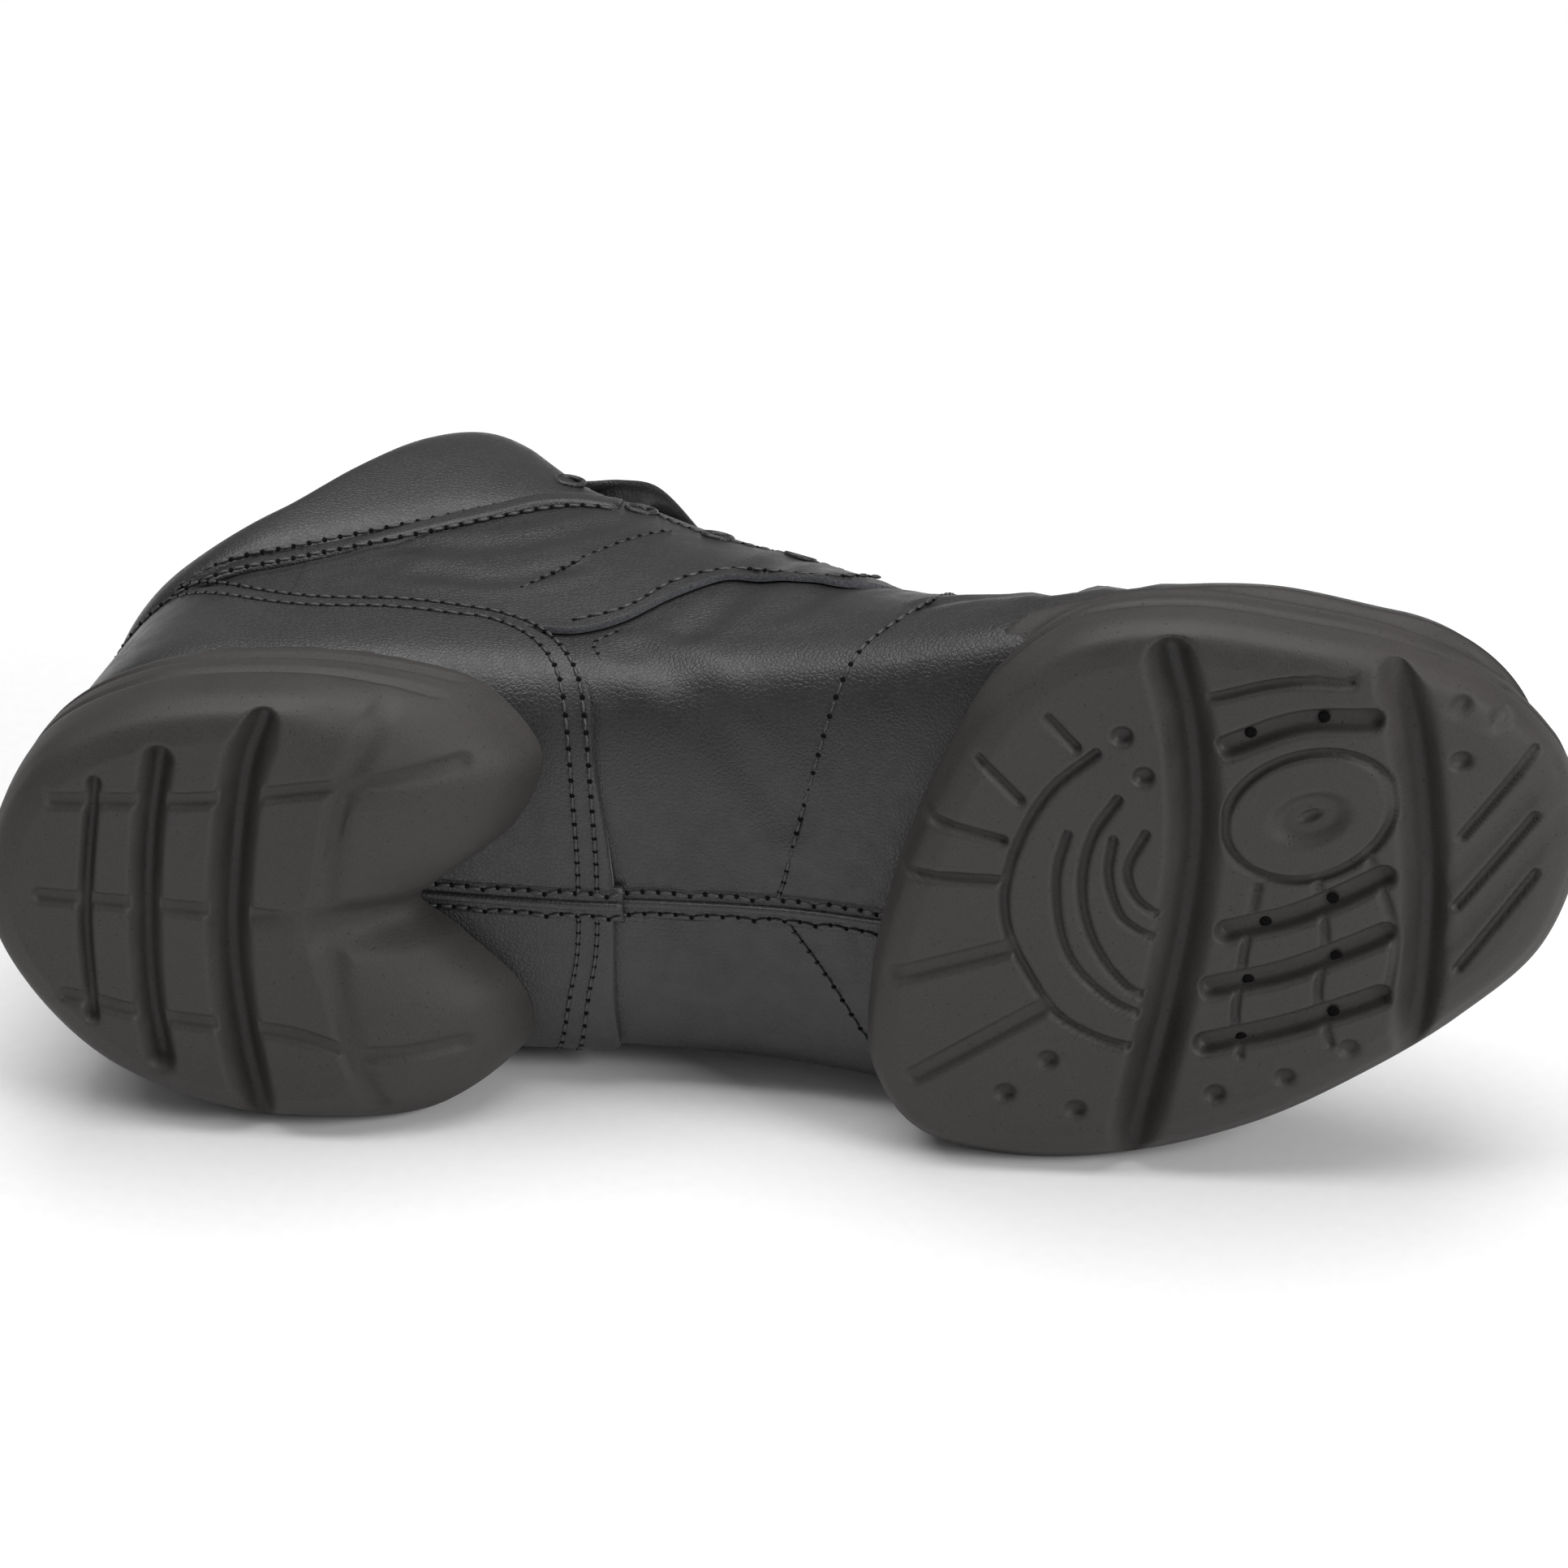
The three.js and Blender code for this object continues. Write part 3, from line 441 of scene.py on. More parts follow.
def upper_edge(x: np.ndarray) -> np.ndarray:
    """The upper's own top edge: inside the cuff's padding at the collar, and free along the throat."""
    hidden = rim_top(x) - 4 * (1 - smooth(x, 84, PAD_FRONT))
    free = np.where(x > THROAT_FRONT, 200.0, throat_edge(x))
    return np.where(x < PAD_FRONT, hidden, np.maximum(free, 0))


# Meshes


def capped(rings: np.ndarray) -> np.ndarray:
    """Rings with one more row at each end, drawn together to that end's middle."""
    ends = [np.broadcast_to(rings[row].mean(axis=0), rings[row].shape) for row in (0, -1)]
    return np.concatenate([ends[0][None], rings, ends[1][None]])


def placed(axes: np.ndarray, place: np.ndarray) -> Matrix:
    """The matrix of three axes, one a column, at a place."""
    return Matrix([[*axes[row], place[row]] for row in range(3)] + [[0, 0, 0, 1]])


def grid_mesh(name: str, places: np.ndarray, upright: bool = True) -> Piece:
    """A grid laid over rows of places, with double places merged and faces turned outwards.

    Args:
        name: the piece's name.
        places: rows by columns by x, y and z.
        upright: whether the places are in the upright shoe, in millimetres.

    Returns:
        The piece, with a UV map along its rows and columns.
    """
    rows, columns = places.shape[:2]
    work = bmesh.new()
    work.loops.layers.uv.new("weave")
    bmesh.ops.create_grid(work, x_segments=columns - 1, y_segments=rows - 1, size=0.5, calc_uvs=True)
    mesh = bpy.data.meshes.new(name)
    work.to_mesh(mesh)
    work.clear()
    flat = places.reshape(-1, 3)
    mesh.vertices.foreach_set("co", (LYING.laid(flat) if upright else flat).ravel())
    work.from_mesh(mesh)
    bmesh.ops.remove_doubles(work, verts=work.verts, dist=2e-6)
    bmesh.ops.recalc_face_normals(work, faces=work.faces)
    for face in work.faces:
        face.smooth = True
    work.to_mesh(mesh)
    work.free()
    piece = bpy.data.objects.new(name, mesh)
    bpy.context.collection.objects.link(piece)
    return piece


def mesh_piece(name: str, work: bmesh.types.BMesh) -> Piece:
    """Turns finished work into a smooth piece."""
    bmesh.ops.recalc_face_normals(work, faces=work.faces)
    for face in work.faces:
        face.smooth = True
    mesh = bpy.data.meshes.new(name)
    work.to_mesh(mesh)
    work.free()
    piece = bpy.data.objects.new(name, mesh)
    bpy.context.collection.objects.link(piece)
    return piece


def thicken(piece: Piece, thickness: float, rounding: float) -> None:
    """Gives a sheet its wall, inwards, with rounded cut edges in their own finish.

    Args:
        piece: the sheet.
        thickness: the wall, in millimetres.
        rounding: the cut edge's rounding, in millimetres.
    """
    wall = piece.modifiers.new("wall", "SOLIDIFY")
    wall.thickness = thickness * MM
    wall.offset = -1
    wall.material_offset_rim = 1
    if rounding > 0:
        edge = piece.modifiers.new("edge", "BEVEL")
        edge.width = rounding * MM
        edge.segments = 2
        edge.limit_method = "ANGLE"
        edge.angle_limit = math.radians(50)


def add_piece(
    piece: Piece, finishes: list[Material], nodes: tuple[str, ...] = ()
) -> None:
    """Dresses a piece, lets it ride on the shoe and hides the CAD nodes that it stands for.

    Args:
        piece: the finished piece.
        finishes: its materials, the cut edge's last.
        nodes: the CAD nodes that it replaces.
    """
    for finish in finishes:
        piece.data.materials.append(finish)
    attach(piece, "root")
    if nodes:
        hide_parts(*nodes)
    log.info("%s: %d faces", piece.name, len(piece.data.polygons))


# Finishes


class Nodes:
    """A short way to build one material's nodes."""

    def __init__(self, name: str) -> None:
        """Starts a material with its shader and places on it in millimetres."""
        self.material = bpy.data.materials.new(name)
        self.material.use_nodes = True
        self.tree = self.material.node_tree
        self.shader = self.tree.nodes["Principled BSDF"]
        coordinates = self.add("ShaderNodeTexCoord")
        scaled = self.add("ShaderNodeMapping")
        scaled.inputs["Scale"].default_value = (1000, 1000, 1000)
        self.link(coordinates.outputs["Object"], scaled.inputs["Vector"])
        self.place = scaled.outputs["Vector"]
        self.weave = coordinates.outputs["UV"]

    def add(self, kind: str, **settings: object) -> bpy.types.Node:
        """A new node with its settings."""
        node = self.tree.nodes.new(kind)
        for name, value in settings.items():
            setattr(node, name, value)
        return node

    def link(self, out: Socket, into: Socket) -> None:
        """Joins two sockets."""
        self.tree.links.new(out, into)

    def noise(self, scale: float, detail: float = 3.0, rough: float = 0.55) -> Socket:
        """Cloudy noise, with scale in features a millimetre."""
        node = self.add("ShaderNodeTexNoise")
        node.inputs["Scale"].default_value = scale
        node.inputs["Detail"].default_value = detail
        node.inputs["Roughness"].default_value = rough
        self.link(self.place, node.inputs["Vector"])
        return node.outputs["Fac"]

    def cells(self, scale: float, feature: str = "DISTANCE_TO_EDGE") -> Socket:
        """Grain cells, with scale in cells a millimetre."""
        node = self.add("ShaderNodeTexVoronoi", feature=feature)
        node.inputs["Scale"].default_value = scale
        self.link(self.place, node.inputs["Vector"])
        return node.outputs["Distance"]

    def shift(
        self, value: Socket, low: float, high: float, to_low: float, to_high: float
    ) -> Socket:
        """A value moved from one range to another, held at both ends."""
        node = self.add("ShaderNodeMapRange")
        for name, number in (("From Min", low), ("From Max", high), ("To Min", to_low), ("To Max", to_high)):
            node.inputs[name].default_value = number
        self.link(value, node.inputs["Value"])
        return node.outputs["Result"]

    def combine(self, first: Socket, second: Socket, operation: str = "ADD") -> Socket:
        """Two values joined by an operation."""
        node = self.add("ShaderNodeMath", operation=operation)
        self.link(first, node.inputs[0])
        self.link(second, node.inputs[1])
        return node.outputs["Value"]

    def tone(self, value: Socket, stops: list[tuple[float, Triple]]) -> Socket:
        """A colour read off stops of a ramp."""
        node = self.add("ShaderNodeValToRGB")
        ramp = node.color_ramp
        while len(ramp.elements) < len(stops):
            ramp.elements.new(0.5)
        for element, (place, colour) in zip(ramp.elements, stops):
            element.position = place
            element.color = (*colour, 1)
        self.link(value, node.inputs["Fac"])
        return node.outputs["Color"]

    def dye(self, value: Socket, stops: list[tuple[float, Triple]]) -> None:
        """Colours the material by stops of a ramp."""
        self.link(self.tone(value, stops), self.shader.inputs["Base Color"])

    def set(self, **inputs: float) -> None:
        """Sets inputs of the shader, named with _ for a space."""
        for name, number in inputs.items():
            self.shader.inputs[name.replace("_", " ")].default_value = number

    def bump(self, height: Socket, depth: float, strength: float = 1.0) -> None:
        """Relief of a depth in millimetres."""
        node = self.add("ShaderNodeBump")
        node.inputs["Distance"].default_value = depth * MM
        node.inputs["Strength"].default_value = strength
        self.link(height, node.inputs["Height"])
        self.link(node.outputs["Normal"], self.shader.inputs["Normal"])


@dataclass(frozen=True)
class SoftLeather:
    """Black garment leather with fine grain and a broad gloss."""

    name: str = "soft_leather"
    dark: Triple = (0.0095, 0.0092, 0.0095)
    light: Triple = (0.023, 0.022, 0.023)
    grain: float = 1.25
    grain_depth: float = 0.09
    roughness: tuple[float, float] = (0.36, 0.52)

    def make(self) -> Material:
        """The leather's material."""
        nodes = Nodes(self.name)
        clouds = nodes.noise(0.045, 4)
        fine = nodes.noise(3.2, 3, 0.6)
        tone = nodes.combine(nodes.shift(clouds, 0.3, 0.7, 0, 0.75), nodes.shift(fine, 0.3, 0.7, 0, 0.25))
        nodes.dye(tone, [(0, self.dark), (1, self.light)])
        grain = nodes.shift(nodes.cells(self.grain), 0.0, 0.22, 0, 1)
        relief = nodes.combine(grain, nodes.shift(fine, 0.2, 0.8, 0, 0.6))
        nodes.bump(relief, self.grain_depth, 0.55)
        low, high = self.roughness
        nodes.link(nodes.shift(nodes.noise(0.3, 4), 0.3, 0.7, low, high), nodes.shader.inputs["Roughness"])
        nodes.set(Specular_IOR_Level=0.5, Coat_Weight=0.12, Coat_Roughness=0.3)
        return nodes.material


@dataclass(frozen=True)
class MouldedUnit:
    """Dark warm grey moulded polyurethane with speckle, and pinholes whose colour is darkened with painted shade.
    """

    name: str = "moulded_unit"
    dark: Triple = (0.018, 0.016, 0.0152)
    light: Triple = (0.042, 0.0378, 0.0358)

    def make(self) -> Material:
        """The sole units' material."""
        nodes = Nodes(self.name)
        clouds = nodes.noise(0.05, 5, 0.6)
        speckle = nodes.noise(2.6, 2, 0.7)
        tone = nodes.combine(nodes.shift(clouds, 0.3, 0.7, 0.1, 0.6), nodes.shift(speckle, 0.35, 0.7, 0, 0.4))
        # pinholes: dents in the bump, and dark dots of painted shade multiplied into the colour
        pinholes_and_shade = nodes.shift(nodes.cells(0.55, "F1"), 0.06, 0.16, 0, 1)
        shade = nodes.combine(tone, pinholes_and_shade, "MULTIPLY")
        nodes.dye(shade, [(0, self.dark), (1, self.light)])
        relief = nodes.combine(nodes.shift(speckle, 0.2, 0.8, 0, 0.8), pinholes_and_shade)
        nodes.bump(relief, 0.1, 0.5)
        nodes.link(nodes.shift(clouds, 0.3, 0.7, 0.5, 0.68), nodes.shader.inputs["Roughness"])
        nodes.set(Specular_IOR_Level=0.42)
        return nodes.material


@dataclass(frozen=True)
class CutEdge:
    """Raw blue-grey cut edge and flesh side of the leather."""

    name: str = "cut_edge"
    dark: Triple = (0.035, 0.036, 0.040)
    light: Triple = (0.115, 0.118, 0.128)

    def make(self) -> Material:
        """The cut edge's material."""
        nodes = Nodes(self.name)
        nap = nodes.noise(2.2, 4, 0.7)
        nodes.dye(nap, [(0.3, self.dark), (0.7, self.light)])
        nodes.bump(nap, 0.25, 0.8)
        nodes.set(Roughness=0.92, Specular_IOR_Level=0.2, Sheen_Weight=0.3)
        return nodes.material


@dataclass(frozen=True)
class Thread:
    """Black twisted sewing thread with a glint."""

    name: str = "thread"

    def make(self) -> Material:
        """The thread's material."""
        nodes = Nodes(self.name)
        twist = nodes.noise(4.5, 2)
        colours = [(0.3, (0.012, 0.012, 0.013)), (0.7, (0.055, 0.055, 0.058))]
        nodes.dye(twist, colours)
        nodes.bump(twist, 0.08, 0.6)
        nodes.set(Roughness=0.4)
        return nodes.material


@dataclass(frozen=True)
class Braid:
    """Round braided lace, grey-black, whose strands follow the lace."""

    name: str = "lace_braid"
    strands: float = 46

    def make(self) -> Material:
        """The lace's material."""
        nodes = Nodes(self.name)
        waves = []
        for turn in (0.6, -0.6):
            mapped = nodes.add("ShaderNodeMapping")
            mapped.inputs["Rotation"].default_value = (0, 0, turn)
            mapped.inputs["Scale"].default_value = (5.0, self.strands, 1)
            nodes.link(nodes.weave, mapped.inputs["Vector"])
            wave = nodes.add("ShaderNodeTexWave")
            wave.inputs["Scale"].default_value = 1.0
            nodes.link(mapped.outputs["Vector"], wave.inputs["Vector"])
            waves.append(wave.outputs["Fac"])
        braid = nodes.combine(waves[0], waves[1], "MAXIMUM")
        colours = [(0.2, (0.02, 0.02, 0.022)), (0.9, (0.11, 0.11, 0.118))]
        nodes.dye(braid, colours)
        nodes.bump(braid, 0.25, 0.7)
        nodes.set(Roughness=0.75)
        nodes.set(Sheen_Weight=0.25)
        return nodes.material


@dataclass(frozen=True)
class Lining:
    """Dark knitted lining."""

    name: str = "lining"

    def make(self) -> Material:
        """The lining's material."""
        nodes = Nodes(self.name)
        knit = nodes.cells(1.4, "F1")
        nodes.dye(knit, [(0.1, (0.03, 0.03, 0.032)), (0.7, (0.012, 0.012, 0.013))])
        nodes.bump(knit, 0.2, 0.7)
        nodes.set(Roughness=0.9)
        nodes.set(Sheen_Weight=0.3)
        return nodes.material


@dataclass(frozen=True)
class HoleShade:
    """Painted shade: a near-black colour for the unlit bottom of a small hole."""

    name: str = "hole_shade"

    def make(self) -> Material:
        """The material of the painted shade in a hole."""
        nodes = Nodes(self.name)
        # near-black painted shade, mottled at random
        shade_mottle = nodes.noise(2.0, 2)
        nodes.dye(shade_mottle, [(0.3, (0.002, 0.002, 0.002)), (0.7, (0.005, 0.005, 0.005))])
        nodes.set(Roughness=0.95, Specular_IOR_Level=0.1)
        return nodes.material


@dataclass(frozen=True)
class FloorPaper:
    """Plain pale paper under the shoe."""

    name: str = "floor_paper"

    def make(self) -> Material:
        """The floor's material."""
        nodes = Nodes(self.name)
        grain = nodes.noise(0.4, 2)
        nodes.dye(grain, [(0.3, (0.86, 0.86, 0.86)), (0.7, (0.88, 0.88, 0.88))])
        nodes.set(Roughness=0.9)
        return nodes.material


@dataclass
class Wardrobe:
    """All finishes of the shoe, made once."""

    leather: Material = field(default_factory=lambda: SoftLeather().make())
    moulded: Material = field(default_factory=lambda: MouldedUnit().make())
    cut: Material = field(default_factory=lambda: CutEdge().make())
    thread: Material = field(default_factory=lambda: Thread().make())
    braid: Material = field(default_factory=lambda: Braid().make())
    lining: Material = field(default_factory=lambda: Lining().make())
    hole_shade: Material = field(default_factory=lambda: HoleShade().make())


# Sole units


@dataclass(frozen=True)
class Groove:
    """A recess in a tread: a line in plan, its width and depth, and how soft its lips are."""

    points: Plan
    width: float
    depth: float
    softness: float = 0.55

    def depth_at(self, plan: np.ndarray) -> np.ndarray:
        """How deep the recess is at places in plan."""
        line = np.asarray(self.points, float)
        reach = self.width / 2
        low, high = line.min(axis=0) - 1.6 * reach, line.max(axis=0) + 1.6 * reach
        near = np.all((plan >= low) & (plan <= high), axis=1)
        depth = np.zeros(len(plan))
        if near.any():
            smooth_line = even_line(line, 1.5) if len(line) > 2 else line
            away = line_distance(plan[near], smooth_line)
            inner, outer = reach * (1 - self.softness), reach * (1 + 0.4 * self.softness)
            depth[near] = self.depth * (1 - smooth(away, inner, outer))
        return depth


@dataclass(frozen=True)
class Lens:
    """An oval recess in a tread: its centre in plan, both half sizes, its turn and its depth."""

    centre: tuple[float, float]
    half: tuple[float, float]
    turn: float
    depth: float
    start: float = 0.3

    def depth_at(self, plan: np.ndarray) -> np.ndarray:
        """How deep the recess is at places in plan."""
        away = plan - self.centre
        along = away @ (math.cos(self.turn), math.sin(self.turn)) / self.half[0]
        across = away @ (-math.sin(self.turn), math.cos(self.turn)) / self.half[1]
        return self.depth * (1 - smooth(np.hypot(along, across), self.start, 1.05))


@dataclass(frozen=True)
class WallLine:
    """A fine groove along a unit's wall, between two shares of the way round its outline."""

    rise: float
    start: float
    end: float
    width: float = 1.5
    depth: float = 0.8
    fade: float = 0.015


@dataclass
class SoleUnit:
    """A moulded sole unit: an outline in plan, steps of its side and recesses of its tread."""

    node: str
    outline: list[tuple[float, float]]
    width: float
    rim: float
    steps: list[Triple]
    centre: tuple[float, float]
    deep: list[Groove]
    shallow: list[Groove | Lens]
    lines: list[WallLine]
    around: int = 480
    across: int = 66
    up: int = 40
    lip: float = 1.3
    floor_tuck: float = 2.4
    deep_inside: float = 3.0
    buried: float = 0.9

    def tread(self, x: np.ndarray) -> np.ndarray:
        """The tread's height, which springs up at the toe."""
        past = np.maximum(0, x - SIZES.toe_spring_start) / (SIZES.length - SIZES.toe_spring_start)
        return SIZES.toe_spring * past**2

    def curve(self, count: int) -> tuple[np.ndarray, np.ndarray]:
        """Even places round the outline and the way inwards at each.

        Args:
            count: how many places.

        Returns:
            The places in plan and their inward directions.
        """
        knots = np.array(self.outline) * (SIZES.length, self.width)
        total = len(knots)
        dense = []
        for step in range(total):
            before, start, end, after = (knots[(step + k) % total] for k in (-1, 0, 1, 2))
            pairs = ((before, start), (start, end), (end, after))
            spans = [max(np.linalg.norm(b - a), 1e-6) ** 0.5 for a, b in pairs]
            first = (start - before) / spans[0] - (end - before) / (spans[0] + spans[1]) + (end - start) / spans[1]
            second = (end - start) / spans[1] - (after - start) / (spans[1] + spans[2]) + (after - end) / spans[2]
            first, second = first * spans[1], second * spans[1]
            t = np.linspace(0, 1, 60, endpoint=False)[:, None]
            dense.append(
                start * (2 * t**3 - 3 * t**2 + 1) + first * (t**3 - 2 * t**2 + t)
                + end * (3 * t**2 - 2 * t**3) + second * (t**3 - t**2)
            )
        ring = np.concatenate(dense)
        closed = np.vstack([ring, ring[:1]])
        run = np.concatenate(([0], np.cumsum(np.linalg.norm(np.diff(closed, axis=0), axis=1))))
        wanted = np.linspace(0, run[-1], count + 1)[:-1]
        places = np.stack([np.interp(wanted, run, axis) for axis in closed.T], axis=1)
        ahead = np.roll(places, -2, axis=0) - np.roll(places, 2, axis=0)
        ahead /= np.linalg.norm(ahead, axis=1, keepdims=True)
        return places, np.stack([-ahead[:, 1], ahead[:, 0]], axis=1)

    def side_ring(self, places: np.ndarray, inward: np.ndarray, rise: float) -> np.ndarray:
        """The ring of the unit's side at a rise."""
        inset = profile(self.steps, 1)(rise)
        ramp = profile(self.steps, 2)(rise)
        tucked = self.floor_tuck * (1 - smooth(rise, 0.05, 0.36)) * np.clip(-inward[:, 1], 0, 1)
        plan = places + inward * (inset + tucked)[:, None]
        plan[:, 0] -= ramp * smooth(plan[:, 0], 0.16 * SIZES.length, 0.36 * SIZES.length)
        z = rise * self.rim + self.tread(plan[:, 0]) * (1 - rise)
        return np.column_stack([plan, z])

    def rings(self) -> np.ndarray:
        """All rings from the tread's centre, over the side, to the lid inside the upper's wall."""
        places, inward = self.curve(self.around)
        share = np.arange(self.around) / self.around
        foot = self.side_ring(places, inward, 0.0)
        centre = np.array(self.centre) * (SIZES.length, self.width)
        rows = []
        for scale in np.linspace(0, 1, self.across)[:-1]:
            plan = centre + (foot[:, :2] - centre) * scale
            rows.append(np.column_stack([plan, self.tread(plan[:, 0])]))
        rises = np.linspace(0, 1, self.up) ** 1.35
        for rise in rises:
            ring = self.side_ring(places, inward, rise)
            for line in self.lines:
                along = smooth(share, line.start, line.start + line.fade)
                along *= 1 - smooth(share, line.end - line.fade, line.end)
                off = abs(rise - line.rise) * self.rim
                sunk = line.depth * (1 - smooth(off, 0.2 * line.width, 0.62 * line.width)) * along
                ring[:, :2] += inward * sunk[:, None]
            rows.append(self.kept_proud(ring, inward, float(smooth(rise, 0.75, 1.0)) * self.lip))
        rows.extend(self.lid(rows[-1], inward))
        return np.stack(rows)

    def kept_proud(self, ring: np.ndarray, inward: np.ndarray, lip: float) -> np.ndarray:
        """Keeps a ring a lip's width outside the upper, and what lies deep inside just within its wall."""
        away = LAST.distance(ring)
        deep = away < -self.deep_inside
        out = np.where(deep | (lip <= 0), 0, np.maximum(0, lip - away))
        moved = ring.copy()
        moved[:, :2] -= inward * out[:, None]
        moved[deep] = LAST.snapped(ring, -self.buried)[deep]
        return moved

    def lid(self, rim: np.ndarray, inward: np.ndarray) -> list[np.ndarray]:
        """Rounds the rim's lip inwards and closes the unit inside the upper's wall."""
        rows = []
        for step_in, step_up in ((0.35, 0.35), (0.9, 0.5), (1.5, 0.3)):
            ring = rim.copy()
            ring[:, :2] += inward * step_in
            ring[:, 2] += step_up
            rows.append(ring)
        share, turn, _ = LAST.polar(rows[-1])
        middle = float(LAST.share_at(np.array(self.centre[0] * SIZES.length)))
        turn = np.where(turn > np.pi / 2, turn - 2 * np.pi, turn)
        for step in np.linspace(0.04, 1, 12):
            under = turn + (-np.pi / 2 - turn) * step
            rows.append(LAST.place(share + (middle - share) * step, under, -self.buried))
        return rows

    def carve(self, rings: np.ndarray) -> np.ndarray:
        """Presses the recesses into the tread and its edge."""
        flat = rings.reshape(-1, 3).copy()
        low = np.arange(len(flat)) < self.around * (self.across + self.up - 6)
        plan = flat[:, :2]
        floor = np.zeros(len(flat))
        for groove in self.deep:
            floor = np.maximum(floor, groove.depth_at(plan))
        raised = np.maximum(flat[:, 2], self.tread(plan[:, 0]) + floor)
        flat[:, 2] = np.where(low & (floor > 0), raised, flat[:, 2])
        soft = np.zeros(len(flat))
        for groove in self.shallow:
            soft = np.maximum(soft, groove.depth_at(plan))
        soft *= 1 - smooth(floor, 0.0, 1.0)
        on_tread = 1 - smooth(flat[:, 2] - self.tread(plan[:, 0]), 6, 16)
        flat[:, 2] += np.where(low, soft * on_tread, 0)
        return flat.reshape(rings.shape)

    def build(self, wardrobe: Wardrobe) -> Piece:
        """Makes the unit and lets it stand for its CAD node."""
        rings = self.carve(self.rings())
        closed = np.concatenate([rings, rings[:, :1]], axis=1)
        piece = grid_mesh(self.node + "_moulded", closed)
        add_piece(piece, [wardrobe.moulded], (self.node,))
        return piece


def build_vents(wardrobe: Wardrobe) -> None:
    """Makes flat near-black dots of painted shade for the dark bottoms of the small vent holes in the forefoot's
    slots.
    """
    work = bmesh.new()
    for x, y in VENTS:
        # each vent is a flat dot of painted shade, not a hole in the unit
        place = LYING.laid(np.array([[x, y, 2.3]]))[0]
        axes = LYING.axes @ np.diag([0.95, 0.95, 0.25]) * MM
        bmesh.ops.create_uvsphere(work, u_segments=16, v_segments=8, radius=1, matrix=placed(axes, place))
    add_piece(mesh_piece("vent_hole_shade", work), [wardrobe.hole_shade])


HEEL_UNIT = SoleUnit(
    node="heel_sole",
    outline=[
        (0.002, 0.026), (0.012, -0.167), (0.048, -0.346), (0.111, -0.449), (0.19, -0.474),
        (0.266, -0.453), (0.333, -0.385), (0.369, -0.255), (0.349, -0.103), (0.305, 0.0),
        (0.28, 0.064), (0.306, 0.147), (0.342, 0.275), (0.343, 0.4), (0.305, 0.5),
        (0.222, 0.526), (0.143, 0.506), (0.067, 0.391), (0.02, 0.205),
    ],
    width=SIZES.heel_width,
    rim=SIZES.heel_rim,
    steps=[
        (0.0, 5.6, 25), (0.045, 2.6, 21.5), (0.15, 0.7, 15.5), (0.33, 0.0, 8.5),
        (0.56, 0.3, 3.5), (0.8, 1.1, 0.8), (1.0, 3.4, 0.0),
    ],
    centre=(0.13, 0.03),
    deep=[
        Groove(((22, -24), (19.3, -10), (17.5, 2), (16.8, 18)), 2.5, 1.9, 0.8),
        Groove(((32.7, -28), (29.6, -15), (27.3, 1), (26.4, 15), (27, 26)), 4.8, 3.4, 0.9),
        Groove((
            (49.5, -34), (45.5, -24), (41.8, -6), (40.2, 8), (40.4, 23), (41.6, 35), (43, 48)), 6.4, 4.4, 0.9),
    ],
    shallow=[
        Groove(((15, -21), (39, -21), (59, -23), (79, -24)), 3.0, 0.9),
        Groove(((11, -4), (31, -2), (49, 0), (56, 1)), 3.0, 0.9),
        Groove(((13, 14), (28, 18), (48, 21), (60, 25), (75, 26)), 3.0, 0.9),
        Groove(((68, -34), (61, -21), (57, -6), (56, 3), (57, 17), (58, 25), (61, 35)), 4.0, 1.0),
        Groove(((56, 3), (64, 4), (72, 5)), 9.0, 2.6, 0.9),
    ],
    lines=[WallLine(0.5, 0.06, 0.35), WallLine(0.72, 0.06, 0.35)],
    around=500,
    across=84,
)

